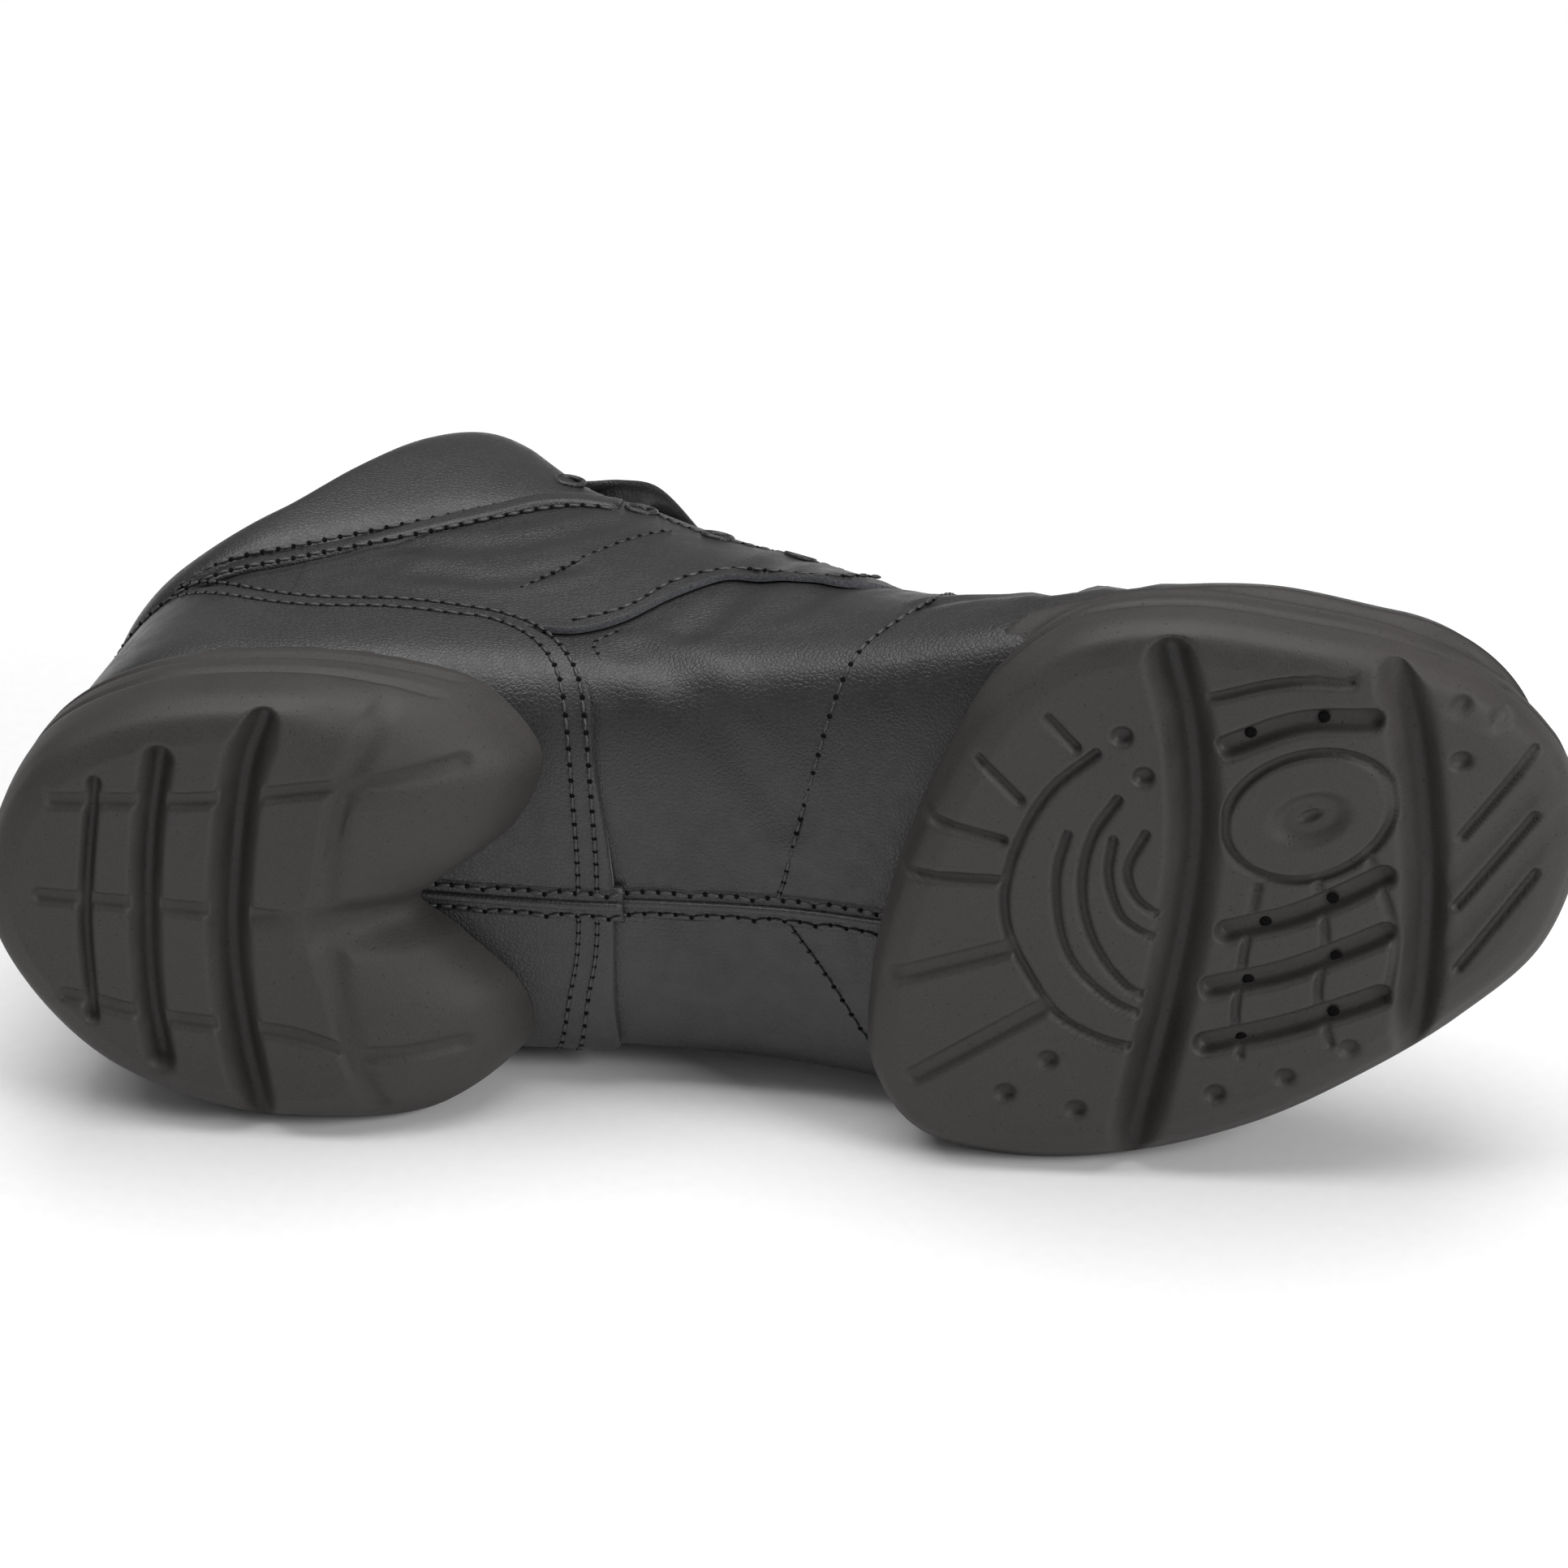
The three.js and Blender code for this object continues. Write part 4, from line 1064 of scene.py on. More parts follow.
FOREFOOT_UNIT = SoleUnit(
    node="forefoot_sole",
    outline=[
        (1.0, -0.084), (0.976, 0.105), (0.925, 0.226), (0.861, 0.332), (0.794, 0.421),
        (0.718, 0.477), (0.643, 0.484), (0.583, 0.432), (0.558, 0.305), (0.562, 0.126),
        (0.581, -0.053), (0.611, -0.237), (0.647, -0.395), (0.698, -0.5), (0.762, -0.524),
        (0.833, -0.495), (0.897, -0.447), (0.952, -0.363), (0.99, -0.232),
    ],
    width=SIZES.ball_width,
    rim=SIZES.forefoot_rim,
    steps=[
        (0.0, 5.2, 0), (0.045, 2.4, 0), (0.15, 0.7, 0), (0.34, 0.0, 0),
        (0.58, 0.1, 0), (0.8, 1.0, 0), (1.0, 3.2, 0),
    ],
    centre=(0.77, -0.03),
    deep=[
        Groove((
            (191, -45), (193.3, -31), (193.5, -15.4), (191.4, 0.4), (187.6, 18), (182, 40), (180.5, 50)),
            7.4, 4.9, 0.9),
        Groove((
            (224.5, -43.5), (227, -31), (228.2, -15.5), (228.3, 0), (226.4, 20), (223, 36)), 6.6, 4.3, 0.9),
        Groove(((199, -30), (210, -34), (221, -34)), 4.2, 2.4),
        Groove(((198, 2), (209, -1), (222, -7)), 4.2, 2.4),
        Groove(((195, 12), (207, 9), (222, 3)), 4.2, 2.4),
        Groove(((194, 22), (206, 19), (221, 14)), 4.2, 2.4),
    ],
    shallow=[
        Groove((
            (179, -29), (172, -23), (167, -15), (164, -6), (164, 2), (167, 10), (171, 17), (177, 21),
            (183, 23)), 1.8, 1.25),
        Groove(((174, -15), (172, -8), (172, 1), (174, 8), (179, 14), (184, 17)), 1.7, 1.15),
        Groove(((182, -21), (178, -15), (176, -8), (176, -1), (178, 6), (182, 12), (186, 14)), 1.8, 1.25),
        Groove(((181, -14), (180, -8), (181, -2), (183, 1), (188, 4)), 1.7, 1.15),
        Groove(((186, -15), (183, -9), (184, -4), (187, -1)), 1.7, 1.15),
        Groove(((172, -35), (176, -30)), 1.9, 1.15),
        Groove(((161, -28), (167, -21)), 1.9, 1.15),
        Groove(((151, -18), (164, -14)), 1.9, 1.15),
        Groove(((148, -8), (163, -7)), 1.9, 1.15),
        Groove(((146, 10), (164, 5)), 3.4, 1.0),
        Groove(((148, 28), (168, 16)), 3.4, 1.0),
        Groove(((197, -38.5), (208, -41), (218, -40.5)), 1.9, 1.2),
        Groove(((203, -6), (200.6, 5), (198.7, 17), (199.3, 24)), 1.6, 0.9),
        Groove(((212, -7.6), (213, 3), (211.6, 13.6), (213.3, 22)), 1.6, 0.9),
        Groove(((220, -11), (223.6, 3), (222, 15)), 1.6, 0.9),
        Groove(((234, -13), (245, -26)), 1.8, 1.15),
        Groove(((233, -1), (245, -15)), 1.8, 1.15),
        Groove(((233, 10), (245, -5)), 1.8, 1.15),
        Groove(((232, -6), (250, -25)), 4.0, 0.4, 0.8),
        Groove(((232, 5), (250, -15)), 4.0, 0.4, 0.8),
        Groove(tuple((211 + 13.4 * math.cos(a) * 0.914 + 10.4 * math.sin(a) * 0.407,
                      -18 - 13.4 * math.cos(a) * 0.407 + 10.4 * math.sin(a) * 0.914)
                     for a in np.linspace(0, 2 * math.pi, 37)), 1.8, 1.25),
        Lens((211.2, -17.6), (7.2, 4.8), -0.34, 1.5, 0.55),
        Lens((211.2, -17.6), (4.6, 2.3), -0.34, 2.3, 0.1),
        *(Groove(((x, y), (x + 0.2, y)), 3.4, 1.3) for x, y in (
            (183, -32), (186, -25), (169, 25), (162, 31), (173, 34), (234, -35), (240, -32), (234, -26),
            (216, 23), (206, 28), (195, 31))),
    ],
    lines=[WallLine(0.5, 0.64, 0.96), WallLine(0.74, 0.64, 0.96)],
    around=600,
    across=100,
    up=36,
)
VENTS = [
    (202.5, -31.6), (213.7, -34.2), (203.8, 1.3), (214.2, -2.9),
    (200.8, 11.6), (214.5, 7.3), (199.4, 22.0), (213.8, 17.2),
]



# Upper


@dataclass(frozen=True)
class Crease:
    """A soft trough in the leather with a low ridge on both sides."""

    points: Line
    depth: float
    width: float

    def lift(self, places: np.ndarray) -> np.ndarray:
        """How far each place moves outwards."""
        path = LAST.snapped(even_line(np.asarray(self.points, float), 2.5))
        away = line_distance(places, path) / self.width
        return self.depth * (-np.exp(-(away**2)) + 0.45 * np.exp(-((away - 1.6) ** 2) / 0.6))


CREASES = [
    Crease(((172, -40, 30), (170, -32, 42), (168, -16, 54), (167, 4, 56)), 0.7, 3.0),
    Crease(((183, -42, 28), (181, -32, 38), (179, -16, 48)), 0.5, 2.8),
    Crease(((150, -38, 34), (158, -41, 36), (168, -42, 33), (176, -43, 29)), 0.45, 2.4),
    Crease(((128, -35, 38), (134, -36, 48), (142, -34, 57)), 0.4, 3.0),
    Crease(((112, -33, 34), (118, -34, 44), (122, -32, 56), (126, -28, 66)), 0.4, 3.0),
    Crease(((104, -30, 30), (112, -28, 24), (120, -20, 19), (128, -8, 17)), 0.5, 3.4),
    Crease(((106, 6, 18), (116, 16, 16), (124, 26, 20)), 0.4, 3.0),
    Crease(((60, -36, 66), (72, -36, 64), (84, -34, 66), (94, -32, 72)), 0.4, 2.8),
    Crease(((66, -36, 54), (78, -36, 52), (90, -34, 56)), 0.4, 2.6),
    Crease(((130, 34, 30), (138, 36, 42), (146, 34, 54)), 0.5, 2.8),
    Crease(((60, 38, 62), (74, 37, 58), (90, 36, 62)), 0.5, 2.6),
]


def creased(places: np.ndarray, share: np.ndarray, turn: np.ndarray) -> np.ndarray:
    """Places moved along the last's outward direction by all creases.

    Args:
        places: rows by columns by x, y and z.
        share: each place's share along the last.
        turn: each place's turn round it.

    Returns:
        The moved places.
    """
    flat = places.reshape(-1, 3)
    lift = sum(crease.lift(flat) for crease in CREASES)
    return places + LAST.normal(share, turn) * lift.reshape(places.shape[:2])[..., None]


def even_sweep(share: float, sweep: np.ndarray, count: int) -> np.ndarray:
    """Turns spread evenly along one section of the last.

    Args:
        share: the section's share along the last.
        sweep: fine turns from one edge to the other.
        count: how many turns are wanted.

    Returns:
        The turns.
    """
    ring = LAST.bare(np.full_like(sweep, share), sweep)
    run = np.concatenate(([0], np.cumsum(np.linalg.norm(np.diff(ring, axis=0), axis=1))))
    return np.interp(np.linspace(0, run[-1], count), run, sweep)


@dataclass
class Shell:
    """A sheet of leather over the last, under a top edge on both sides and closed underneath."""

    start: float
    end: float
    top: Height
    offset: float
    rows: int
    columns: int

    def grid(self) -> tuple[np.ndarray, np.ndarray]:
        """Shares and turns of the sheet, spread evenly round each section."""
        shares = np.linspace(self.start, self.end, self.rows)
        fine = np.linspace(0, 1, 500)
        turns = []
        for share in shares:
            x = LAST.x_at(share)
            edge = self.top(np.array(x))
            left = float(LAST.turn_at(np.array(x), edge, Side.LATERAL))
            right = float(LAST.turn_at(np.array(x), edge, Side.MEDIAL)) - 2 * np.pi
            turns.append(even_sweep(share, left + (right - left) * fine, self.columns))
        turn = np.stack(turns)
        return np.broadcast_to(shares[:, None], turn.shape), turn

    def places(self) -> np.ndarray:
        """The sheet's places with all creases."""
        share, turn = self.grid()
        return creased(LAST.place(share, turn, self.offset), share, turn)


@dataclass
class Panel:
    """A sheet on one side of the last between a lower and an upper edge."""

    side: Side
    start: float
    end: float
    lower: Height
    top: Height
    offset: float
    rise: tuple[float, float]
    fade: tuple[float, float]
    rows: int = 90
    columns: int = 60

    def places(self) -> np.ndarray:
        """The sheet's places with all creases."""
        x = np.linspace(self.start, self.end, self.rows)
        low, high = self.lower(x), np.maximum(self.top(x), self.lower(x) + 0.5)
        fine = np.linspace(0, 1, 160)
        shares, turns = [], []
        for place, bottom, up in zip(x, low, high):
            sweep = LAST.turn_at(np.full(160, place), bottom + (up - bottom) * fine, self.side)
            share = float(LAST.share_at(np.array(place)))
            turns.append(even_sweep(share, sweep, self.columns))
            shares.append(np.full(self.columns, share))
        share, turn = np.stack(shares), np.stack(turns)
        offset = 0.1 + (self.offset - 0.1) * smooth(x, *self.rise) * (1 - smooth(x, *self.fade))
        return creased(LAST.place(share, turn, offset[:, None]), share, turn)


@dataclass
class Upper:
    """The leather upper, its heel counter and both quarter panels."""

    rows: int = 200
    columns: int = 190

    def build(self, wardrobe: Wardrobe) -> None:
        """Makes the upper and its overlays."""
        skin = Shell(0.0, 1.0, upper_edge, 0.0, self.rows, self.columns)
        piece = grid_mesh("upper_leather", skin.places())
        self.outwards(piece)
        thicken(piece, SIZES.wall, 0)
        add_piece(piece, [wardrobe.leather, wardrobe.cut], ("upper",))
        self.build_counter(wardrobe)
        for side in Side:
            self.build_quarter(side, wardrobe)

    def outwards(self, piece: Piece) -> None:
        """Turns a sheet's faces away from the last's middle line."""
        mesh = piece.data
        middle = mesh.polygons[len(mesh.polygons) // 2]
        centre = LYING.laid(np.array([[middle_x(piece), 2.0, 45.0]]))[0]
        if middle.normal.dot(middle.center - Vector(centre)) < 0:
            mesh.flip_normals()

    def build_counter(self, wardrobe: Wardrobe) -> None:
        """Makes the heel counter, whose raw front edge crosses under the arch."""
        front = float(LAST.share_at(np.array(0.3955 * SIZES.length)))
        sheet = Shell(0.0, front, counter_edge, SIZES.gap + SIZES.overlay, 90, 150)
        piece = grid_mesh("heel_counter_leather", sheet.places())
        self.outwards(piece)
        thicken(piece, SIZES.overlay, 0.25)
        add_piece(piece, [wardrobe.leather, wardrobe.cut], ("heel_counter",))

    def build_quarter(self, side: Side, wardrobe: Wardrobe) -> None:
        """Makes one quarter panel, from the cuff and the throat down to its raw edge."""

        def top(x: np.ndarray) -> np.ndarray:
            return cuff_seam(x) + 1 + (throat_edge(x) - 2.5 - cuff_seam(x)) * smooth(x, 90, 98)

        def bottom(x: np.ndarray) -> np.ndarray:
            return np.maximum(quarter_edge(x), np.where(x < 96, counter_edge(x) - 3, 0))

        panel = Panel(side, 44, 151, bottom, top, SIZES.gap + SIZES.overlay, (46, 74), (132, 149), 130, 70)
        name = "quarter_" + side.name.lower()
        piece = grid_mesh(name + "_leather", panel.places())
        self.outwards(piece)
        thicken(piece, SIZES.overlay, 0.25)
        add_piece(piece, [wardrobe.leather, wardrobe.cut], (name,))


def middle_x(piece: Piece) -> float:
    """The place along the upright shoe of a sheet's middle face."""
    middle = piece.data.polygons[len(piece.data.polygons) // 2].center
    return float(((np.array(middle) - LYING.origin) @ LYING.axes)[0] / MM)


@dataclass
class Cuff:
    """The padded collar cuff, swept round the opening from one facing to the other."""

    bulge: float = 2.8
    padding: float = 6.5
    medial_swell: float = 3.2
    stations: int = 230
    # out and up of the pad's section, as shares of its bulge or padding and of its height
    section: Plan = (
        (0.0, 0.02), (0.75, 0.2), (1.0, 0.5), (0.85, 0.78), (0.1, 0.95),
        (-0.45, 1.0), (-0.85, 0.9), (-1.0, 0.6), (-0.9, 0.25), (-0.5, 0.04),
    )

    def ring(self, x: float, side: Side, fade: float) -> np.ndarray:
        """One closed section of the pad."""
        rows = np.array(self.section + self.section[:1])
        dense = even_line(rows, 0.05)[:-1]
        low, high = cuff_seam(np.array(x)), rim_top(np.array(x))
        taper = 1 - 0.72 * smooth(x, 62, PAD_FRONT)
        swell = self.medial_swell * smooth(x, 20, 50) * (1 - smooth(x, 66, 88)) * (side is Side.MEDIAL)
        offset = np.where(dense[:, 0] > 0, dense[:, 0] * self.bulge, dense[:, 0] * self.padding) * taper
        offset += swell * dense[:, 1] * smooth(dense[:, 0], -0.9, 0.3)
        z = low + (high - low) * dense[:, 1]
        offset = -1.0 + (offset + 1.0) * fade
        return LAST.wall_place(np.full(len(z), x), z, side, offset)

    def build(self, wardrobe: Wardrobe) -> None:
        reach = PAD_FRONT - LAST.heel
        rings = []
        for turn in np.linspace(-1, 1, self.stations):
            side = Side.MEDIAL if turn < 0 else Side.LATERAL
            x = LAST.heel + 0.02 + reach * abs(turn) ** 1.7
            fade = float(smooth(np.array(1.0 - abs(turn)), -0.002, 0.02)) * 0.55 + 0.45
            rings.append(self.ring(x, side, fade))
        count = min(len(ring) for ring in rings)
        places = np.stack([ring[:count] for ring in rings])
        closed = np.concatenate([places, places[:, :1]], axis=1)
        piece = grid_mesh("collar_cuff_leather", capped(closed))
        add_piece(piece, [wardrobe.leather], ("collar_cuff",))


@dataclass
class Tongue:
    """The arched tongue, whose medial edge stands out of the throat."""

    thickness: float = 4.0
    stations: int = 110
    across: int = 56
    # at, crown, medial, medial edge, lateral, lateral edge
    rows: tuple[tuple[float, ...], ...] = (
        (0.278, 1.08, -0.23, 1.02, 0.21, 1.0),
        (0.305, 1.085, -0.26, 1.02, 0.24, 0.94),
        (0.333, 1.08, -0.265, 1.0, 0.245, 0.86),
        (0.357, 1.04, -0.275, 0.985, 0.245, 0.82),
        (0.385, 0.97, -0.285, 0.94, 0.245, 0.775),
        (0.417, 0.885, -0.27, 0.825, 0.245, 0.72),
        (0.452, 0.815, -0.267, 0.64, 0.24, 0.66),
        (0.5, 0.735, -0.24, 0.615, 0.205, 0.62),
        (0.548, 0.66, -0.2, 0.59, 0.165, 0.59),
        (0.595, 0.585, -0.165, 0.53, 0.135, 0.53),
        (0.635, 0.52, -0.15, 0.475, 0.12, 0.475),
    )

    def value(self, column: int, at: np.ndarray) -> np.ndarray:
        """One column of the tongue's table."""
        return profile(list(self.rows), column)(at)

    def height(self, at: np.ndarray, y: np.ndarray) -> np.ndarray:
        """The height of the tongue's middle over a place in plan."""
        crown = self.value(1, at) * SIZES.collar_height
        medial, lateral = self.value(2, at) * SIZES.ball_width, self.value(4, at) * SIZES.ball_width
        middle = (medial + lateral) / 2
        inner = y < middle
        edge = np.where(inner, self.value(3, at), self.value(5, at)) * SIZES.collar_height
        reach = np.abs(y - middle) / np.abs(np.where(inner, medial, lateral) - middle)
        return crown - (crown - edge) * np.minimum(1.1, reach) ** 2.2

    def build(self, wardrobe: Wardrobe) -> None:
        rings = []
        for at in np.linspace(0.278, 0.635, self.stations):
            medial, lateral = (float(self.value(column, np.array(at))) * SIZES.ball_width for column in (2, 4))
            share = np.linspace(0, 1, self.across)
            y = medial + (lateral - medial) * share
            end = min(at - 0.278, 0.635 - at)
            half = self.thickness / 2 * (1 - (2 * np.abs(share - 0.5)) ** 10) ** 0.5
            half = np.maximum(half, 0.02) * (0.3 + 0.7 * float(smooth(np.array(end), 0, 0.012)))
            z = self.height(np.full_like(y, at), y)
            x = np.full_like(y, at * SIZES.length)
            over, under = np.column_stack([x, y, z + half]), np.column_stack([x, y, z - half])
            rings.append(np.vstack([over, under[::-1], over[:1]]))
        piece = grid_mesh("tongue_leather", capped(np.stack(rings)))
        add_piece(piece, [wardrobe.leather], ("tongue",))


TONGUE = Tongue()


@dataclass
class Insole:
    """The covered insole on the upper's inner bottom."""

    thickness: float = 3.5

    def build(self, wardrobe: Wardrobe) -> None:
        """Makes the insole."""
        shares = np.linspace(0.09, 0.91, 90)[:, None]
        turns = np.linspace(math.radians(-158), math.radians(-22), 40)[None, :]
        under = LAST.place(shares, turns, -SIZES.wall - 2 * SIZES.gap)
        over = under + np.array([0, 0, self.thickness])
        closed = np.concatenate([under, over[:, ::-1], under[:, :1]], axis=1)
        piece = grid_mesh("insole_cover", capped(closed))
        add_piece(piece, [wardrobe.lining], ("insole",))


# Laces


def tube(name: str, path: np.ndarray, radius: float, sides: int = 16) -> Piece:
    """A round tube along a path, closed at both ends.

    Args:
        name: the piece's name.
        path: the path in the upright shoe.
        radius: the tube's radius, in millimetres.
        sides: faces round it.

    Returns:
        The tube.
    """
    ahead = np.gradient(path, axis=0)
    ahead /= np.linalg.norm(ahead, axis=1, keepdims=True)
    across = np.cross(ahead[0], (0.0, 0.0, 1.0))
    across /= np.linalg.norm(across)
    rings = []
    for place, way in zip(path, ahead):
        across = across - way * (across @ way)
        across /= np.linalg.norm(across)
        other = np.cross(way, across)
        turn = np.linspace(0, 2 * np.pi, sides + 1)[:, None]
        rings.append(place + radius * (np.cos(turn) * across + np.sin(turn) * other))
    first, last = (np.broadcast_to(path[row], rings[0].shape) for row in (0, -1))
    return grid_mesh(name, np.stack([first, *rings, last]))


@dataclass
class Laces:
    """One round lace that crosses the tongue from eyelet to eyelet."""

    rows: tuple[float, ...] = (0.55, 0.495, 0.44, 0.385, 0.332)
    setback: float = 5
    diameter: float = 3.4
    tip: float = 0.7
    through: float = -1.6
    behind: float = -3.3
    under_edge: float = -4.4

    def eyelet(self, at: float, side: Side, offset: float) -> np.ndarray:
        """A place over an eyelet's centre."""
        x = np.array([at * SIZES.length])
        return LAST.wall_place(x, throat_edge(x) - self.setback, side, offset)[0]

    def edge(self, at: float, side: Side) -> np.ndarray:
        """A place just under the facing's edge beside an eyelet."""
        x = np.array([at * SIZES.length])
        return LAST.wall_place(x, throat_edge(x) - 0.8, side, self.under_edge)[0]

    def run(self, start_at: float, end_at: float, side: Side) -> np.ndarray:
        """The path of one crossing, out of one eyelet and into another."""
        other = Side.LATERAL if side is Side.MEDIAL else Side.MEDIAL
        start, end = self.edge(start_at, side), self.edge(end_at, other)
        depths = (self.tip, self.through, self.behind)
        path = [*(self.eyelet(start_at, side, depth) for depth in depths), start]
        for step in np.linspace(0.12, 0.88, 7):
            place = start + (end - start) * step
            at, y = np.array([place[0] / SIZES.length]), np.array([place[1]])
            over = TONGUE.height(at, y)[0] + TONGUE.thickness / 2 + self.diameter / 2 + 0.4
            place[2] = max(over, place[2]) if abs(step - 0.5) < 0.32 else max(over - 1.2, place[2])
            path.append(place)
        path += [end, *(self.eyelet(end_at, other, depth) for depth in depths[::-1])]
        return even_line(np.array(path), 0.9)

    def build(self, wardrobe: Wardrobe) -> None:
        """Makes the lace's crossings as one piece."""
        pieces = [tube("lace_bar", self.run(self.rows[0], self.rows[0], Side.LATERAL), self.diameter / 2)]
        for row in range(len(self.rows) - 1):
            for side in Side:
                path = self.run(self.rows[row], self.rows[row + 1], side)
                pieces.append(tube(f"lace_run_{row}_{side.name.lower()}", path, self.diameter / 2))
        whole = joined("lace", pieces)
        add_piece(whole, [wardrobe.braid], ("laces",))
        rings = [self.eyelet_ring(row, side) for row in self.rows for side in Side]
        add_piece(joined("eyelet_rings", rings), [wardrobe.leather])

    def eyelet_ring(self, at: float, side: Side) -> Piece:
        """The pressed rim of one eyelet."""
        centre, over = self.eyelet(at, side, 1.5), self.eyelet(at, side, 2.5)
        up = over - centre
        across = np.cross(up, (0, 0, 1.0))
        across /= np.linalg.norm(across)
        turn = np.linspace(0, 2 * np.pi, 25)[:, None]
        circle = centre + 2.4 * (np.cos(turn) * across + np.sin(turn) * np.cross(up, across))
        return tube(f"eyelet_{at}_{side.name}", circle, 0.5, 8)


def joined(name: str, pieces: list[Piece]) -> Piece:
    """Several pieces as one.

    Args:
        name: the whole's name.
        pieces: the pieces, which are used up.

    Returns:
        The whole.
    """
    work = bmesh.new()
    for piece in pieces:
        work.from_mesh(piece.data)
        bpy.data.objects.remove(piece)
    mesh = bpy.data.meshes.new(name)
    work.to_mesh(mesh)
    work.free()
    whole = bpy.data.objects.new(name, mesh)
    bpy.context.collection.objects.link(whole)
    return whole


# Seams


@dataclass(frozen=True)
class Welt:
    """A raised band or fold of leather along a seam."""

    name: str
    width: float
    height: float
    offset: float

    def section(self) -> tuple[np.ndarray, np.ndarray]:
        """Places across the band and how far each stands off the last."""
        share = np.linspace(-1, 1, 11)
        return share * self.width / 2, self.offset - 0.5 + (self.height + 0.5) * (1 - share**4) ** 0.5

    def skin(self, rows: np.ndarray, finish: Material) -> None:
        """Closes the rows of the band's section into a piece."""
        closed = np.concatenate([rows, rows[:, :1]], axis=1)
        piece = grid_mesh(self.name, capped(closed))
        add_piece(piece, [finish])

    def along(self, points: Line, finish: Material) -> None:
        """Makes the band along a line on the leather."""
        path = LAST.snapped(even_line(np.asarray(points, float), 1.0))
        share, turn, _ = LAST.polar(path)
        ahead = np.gradient(path, axis=0)
        across = np.cross(LAST.normal(share, turn), ahead)
        across /= np.linalg.norm(across, axis=1, keepdims=True)
        rows = [LAST.snapped(path + across * aside, rise) for aside, rise in zip(*self.section())]
        self.skin(np.stack(rows, axis=1), finish)

    def round_collar(self, finish: Material) -> None:
        """Makes the band along the collar's seam, round the heel from one facing to the other."""
        reach = LAST.heel + 0.02 + (PAD_FRONT - 0.5 - LAST.heel) * np.linspace(0, 1, 90) ** 1.7
        rows = []
        lowered = (self.offset - 0.3) * (1 - smooth(reach, 46, 74))
        for aside, rise in zip(*self.section()):
            sides = [LAST.wall_place(reach, cuff_seam(reach) + aside, side, rise - lowered) for side in Side]
            rows.append(np.concatenate([sides[0][::-1], sides[1]]))
        self.skin(np.stack(rows, axis=1), finish)


@dataclass(frozen=True)
class Seam:
    """A row of stitches along a line on the leather."""

    name: str
    points: Line
    offset: float
    pitch: float = 2.6
    length: float = 2.1
    thread: float = 0.7
    wander: float = 0.0
    proud: float = 0.08
    # sizes of the near-black dot of painted shade in each needle hole
    hole: Triple = (0.45, 0.5, 0.18)

    def stitches(self, work: bmesh.types.BMesh, holes: bmesh.types.BMesh) -> None:
        """Adds the seam's stitches, and dots of painted shade in the needle holes, to two meshes."""
        free = even_line(np.asarray(self.points, float), self.pitch)
        steps = np.arange(len(free))
        free[:, 1] += self.wander * np.sin(steps * 2.3) * np.cos(steps * 0.7)
        free = free[free[:, 0] - LAST.lean(free[:, 0], free[:, 2]) > LAST.heel + 1]
        path = LAST.snapped(free, self.offset)
        raised = LAST.snapped(path, self.offset + 1)
        for start, end, over in zip(path[:-1], path[1:], raised[:-1]):
            if np.linalg.norm(end - start) > 2 * self.pitch:
                continue
            way = (end - start) / max(np.linalg.norm(end - start), 1e-6)
            up = over - start
            up = up - way * (up @ way)
            up /= max(np.linalg.norm(up), 1e-6)
            aside = np.cross(up, way)
            axes = np.column_stack([way * self.length / 2, aside * self.thread / 2, up * self.thread / 2])
            centre = LYING.laid(((start + end) / 2 + up * self.proud)[None])[0]
            matrix = placed(LYING.axes @ axes * MM, centre) @ Matrix.Rotation(math.pi / 2, 4, "Y")
            bmesh.ops.create_uvsphere(work, u_segments=6, v_segments=5, radius=1, matrix=matrix)
            # a near-black dot of painted shade in the needle hole
            along, across, deep = self.hole
            axes = np.column_stack([way * along, aside * across, up * deep])
            matrix = placed(LYING.axes @ axes * MM, LYING.laid(start[None])[0])
            bmesh.ops.create_uvsphere(holes, u_segments=6, v_segments=4, radius=1, matrix=matrix)


def build_seams(seams: list[Seam], wardrobe: Wardrobe) -> None:
    """Makes all stitches as one piece, and the painted shade of the needle holes as another."""
    work, holes = bmesh.new(), bmesh.new()
    for seam in seams:
        seam.stitches(work, holes)
    add_piece(mesh_piece("stitches", work), [wardrobe.thread])
    add_piece(mesh_piece("needle_hole_shade", holes), [wardrobe.hole_shade])


def collar_line(side: Side, shift: float) -> tuple[tuple[float, ...], ...]:
    """A line beside the collar's seam on one side."""
    x = np.array([6, 9, 14, 22, 34, 50, 65, 76, 87, 93.0])
    return tuple(map(tuple, LAST.wall_place(x, cuff_seam(x) + shift, side)))


def moved(line: Line, x: float, z: float) -> Line:
    """A line moved along the shoe and in height."""
    return tuple((place[0] + x, place[1], place[2] + z) for place in line)


OVER = SIZES.gap + SIZES.overlay
COUNTER_LINE = (
    (12, -12, 56), (22, -20, 55), (36, -30, 49), (50, -35, 45), (63, -36, 44), (74, -36, 42),
    (81, -35, 40), (88, -33, 35), (95, -31, 25), (97, -26, 19), (97.3, -10, 15), (97, 3, 14),
    (96, 17, 13), (94, 28, 13.5), (91, 36, 22), (86, 37, 36),
)
SECOND_LINE = (
    moved(COUNTER_LINE[:6], -1, -3) + moved(COUNTER_LINE[6:8], -2, -2)
    + moved(COUNTER_LINE[8:14], -3, 0) + moved(COUNTER_LINE[14:], -3, -1)
)
QUARTER_LINE = (
    (93, -33, 38), (101, -34, 42), (108, -33, 50), (117, -33, 54), (127, -34, 52), (134, -35, 52), (140, -34, 58),
)
ARCH_LINE = ((99, 7.2, 14), (110, 7.8, 13), (122, 8.2, 12), (134, 8.8, 10), (147, 9.4, 9))
HEEL_ARCH_LINE = ((66, 6, 14), (75, 6.3, 14), (84, 6.6, 14), (92, 6.9, 14), (101, 7.2, 14))
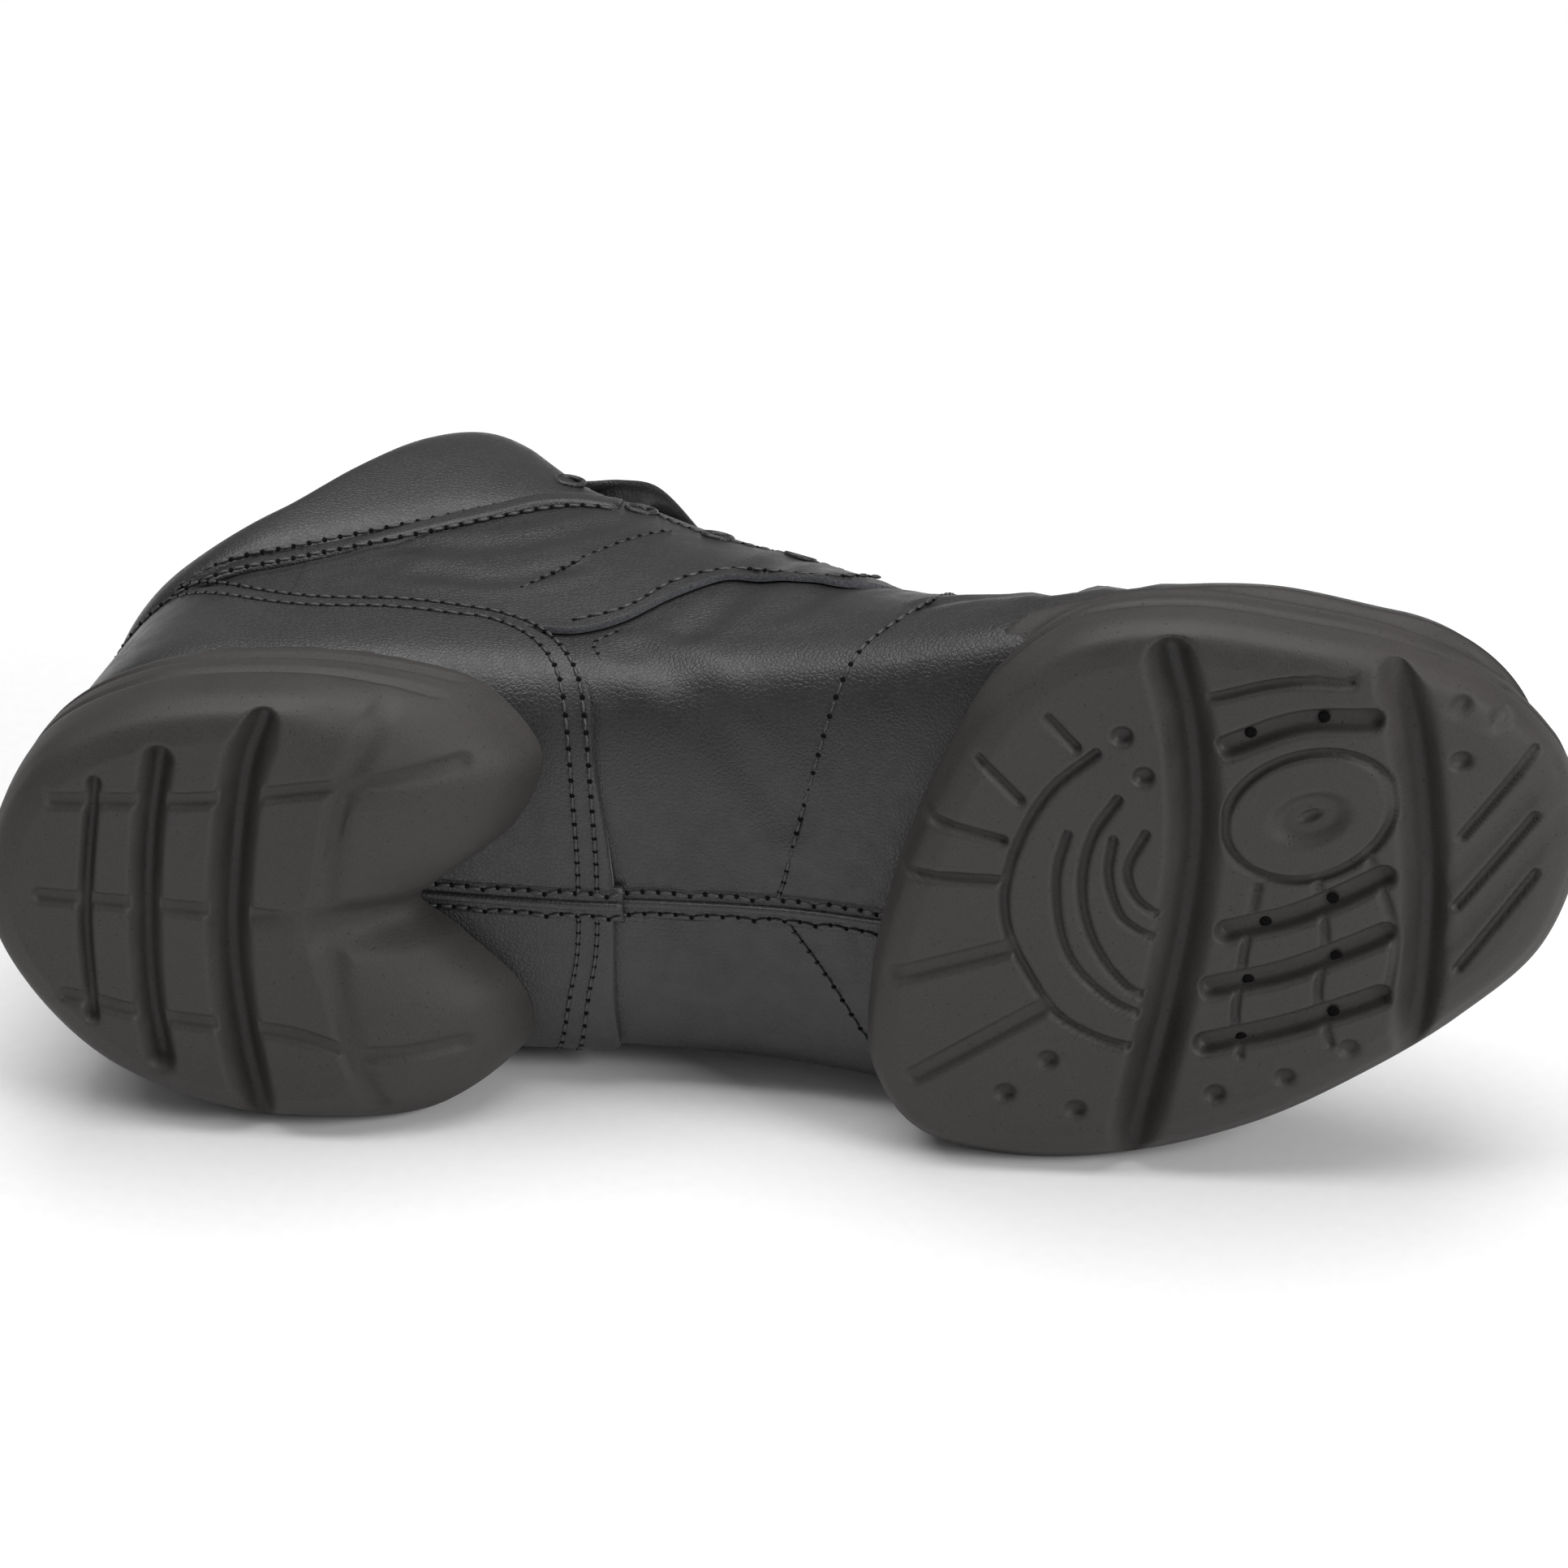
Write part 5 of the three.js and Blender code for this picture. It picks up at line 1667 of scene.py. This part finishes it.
SEAMS = [
    Seam("counter_edge", COUNTER_LINE, OVER),
    Seam("counter_second", SECOND_LINE, OVER),
    Seam("quarter_medial", QUARTER_LINE, OVER),
    Seam("quarter_lateral", tuple((x, -y, z) for x, y, z in QUARTER_LINE), OVER),
    Seam("quarter_upper_row", ((83, -35, 49), (92, -34, 60), (104, -31, 72)), OVER, 2.2, 1.5, 0.4),
    Seam("vamp", (
        (153, -36, 52), (152, -39, 42), (149, -40, 33), (144, -37, 26), (139, -30, 20), (134, -20, 16),
        (130, -9, 14), (127, 2, 12), (126, 8, 11), (131, 20, 10), (139, 34, 14)), 0.0),
    *(Seam(f"arch_row_{shift}", tuple((x, y + shift, z) for x, y, z in arch), offset, 2.5, 2.1, 0.75, 0.5)
      for arch, offset in ((ARCH_LINE, 0.25), (HEEL_ARCH_LINE, OVER + 0.25)) for shift in (-2.4, 2.4)),
    Seam("arch_heel_side", ((100, -33, 36), (97, -33, 32), (99, -32, 27)), 0.1, 2.2, 1.6, 0.45),
    Seam("facing", ((96, -27, 80), (109, -27, 70), (125, -26, 66), (140, -22, 64)), OVER),
    *(Seam(f"collar_{side.name.lower()}_{place}", collar_line(side, shift), OVER + 0.2)
      for side in Side for place, shift in (("low", -3.4), ("high", 1.6))),
]


def build_welts(wardrobe: Wardrobe) -> None:
    """Makes the collar's seam band and the fold of the arch's middle seam."""
    Welt("collar_band", 5.4, 0.75, OVER).round_collar(wardrobe.leather)
    for place, arch, offset in (("front", ARCH_LINE, 0.0), ("rear", HEEL_ARCH_LINE, OVER)):
        Welt("arch_fold_" + place, 1.7, 1.1, offset).along(arch, wardrobe.leather)
        Welt("arch_lap_" + place, 6.8, 0.3, offset).along(arch, wardrobe.leather)


# Light and camera


@dataclass
class Studio:
    """Pale floor, soft lights and the photograph's viewing angle."""

    target: Triple = (126, -8, 30)
    away: Triple = (0.1392, -0.4649, -0.8744)
    distance: float = 1000
    focal_pixels: float = 7750
    frame_pixels: float = 1932
    sensor: float = 36

    def build(self) -> None:
        """Makes the floor, the lights and the camera."""
        self.build_floor()
        self.build_camera()
        world = bpy.data.worlds.new("studio")
        world.use_nodes = True
        sky = world.node_tree.nodes["Background"]
        sky.inputs["Color"].default_value = (1, 1, 1, 1)
        sky.inputs["Strength"].default_value = 0.22
        bpy.context.scene.world = world
        self.lamp("top", (0.0, 0.2, 1.35), 1.3, 18)
        self.lamp("key", (0.95, -0.5, 0.6), 0.45, 8)
        self.lamp("side", (-0.6, -0.2, 1.0), 0.4, 2.5)
        bpy.context.scene.view_settings.view_transform = "Standard"

    def build_floor(self) -> None:
        """Makes the floor that the shoe lies on."""
        steps = np.linspace(-2.5, 2.5, 5)
        places = np.stack(np.broadcast_arrays(steps[None, :], steps[:, None], np.array(0.0)), axis=-1)
        floor = grid_mesh("floor", places, upright=False)
        if floor.data.polygons[0].normal.z < 0:
            floor.data.flip_normals()
        floor.data.materials.append(FloorPaper().make())

    def build_camera(self) -> None:
        """Places the camera at the photograph's angle to the shoe."""
        back = np.asarray(self.away) / np.linalg.norm(self.away)
        right = np.array([1.0, 0, 0]) - back * back[0]
        right /= np.linalg.norm(right)
        over = np.cross(back, right)
        axes = LYING.axes @ np.column_stack([right, over, back])
        place = LYING.laid((np.asarray(self.target) + back * self.distance)[None])[0]
        data = bpy.data.cameras.new("camera")
        data.sensor_width = self.sensor
        data.lens = self.focal_pixels / self.frame_pixels * self.sensor
        data.clip_start = 0.05
        camera = bpy.data.objects.new("camera", data)
        camera.matrix_world = placed(axes, place)
        bpy.context.collection.objects.link(camera)
        bpy.context.scene.camera = camera

    def lamp(self, name: str, place: Triple, size: float, power: float) -> None:
        """Hangs one soft lamp that looks at the shoe.

        Args:
            name: the lamp's name.
            place: where it hangs, in metres.
            size: its side, in metres.
            power: its power, in watts.
        """
        data = bpy.data.lights.new(name, "AREA")
        data.shape = "SQUARE"
        data.size = size
        data.energy = power
        light = bpy.data.objects.new(name, data)
        light.location = place
        light.rotation_euler = (Vector((0, 0, 0.04)) - Vector(place)).to_track_quat("-Z", "Y").to_euler()
        bpy.context.collection.objects.link(light)


def main() -> None:
    """Builds the shoe and its studio."""
    logging.basicConfig(level=logging.INFO, format="%(name)s: %(message)s")
    Studio().build()
    wardrobe = Wardrobe()
    HEEL_UNIT.build(wardrobe)
    FOREFOOT_UNIT.build(wardrobe)
    build_vents(wardrobe)
    Upper().build(wardrobe)
    Cuff().build(wardrobe)
    TONGUE.build(wardrobe)
    Insole().build(wardrobe)
    Laces().build(wardrobe)
    build_seams(SEAMS, wardrobe)
    build_welts(wardrobe)


if __name__ == "__main__":
    main()
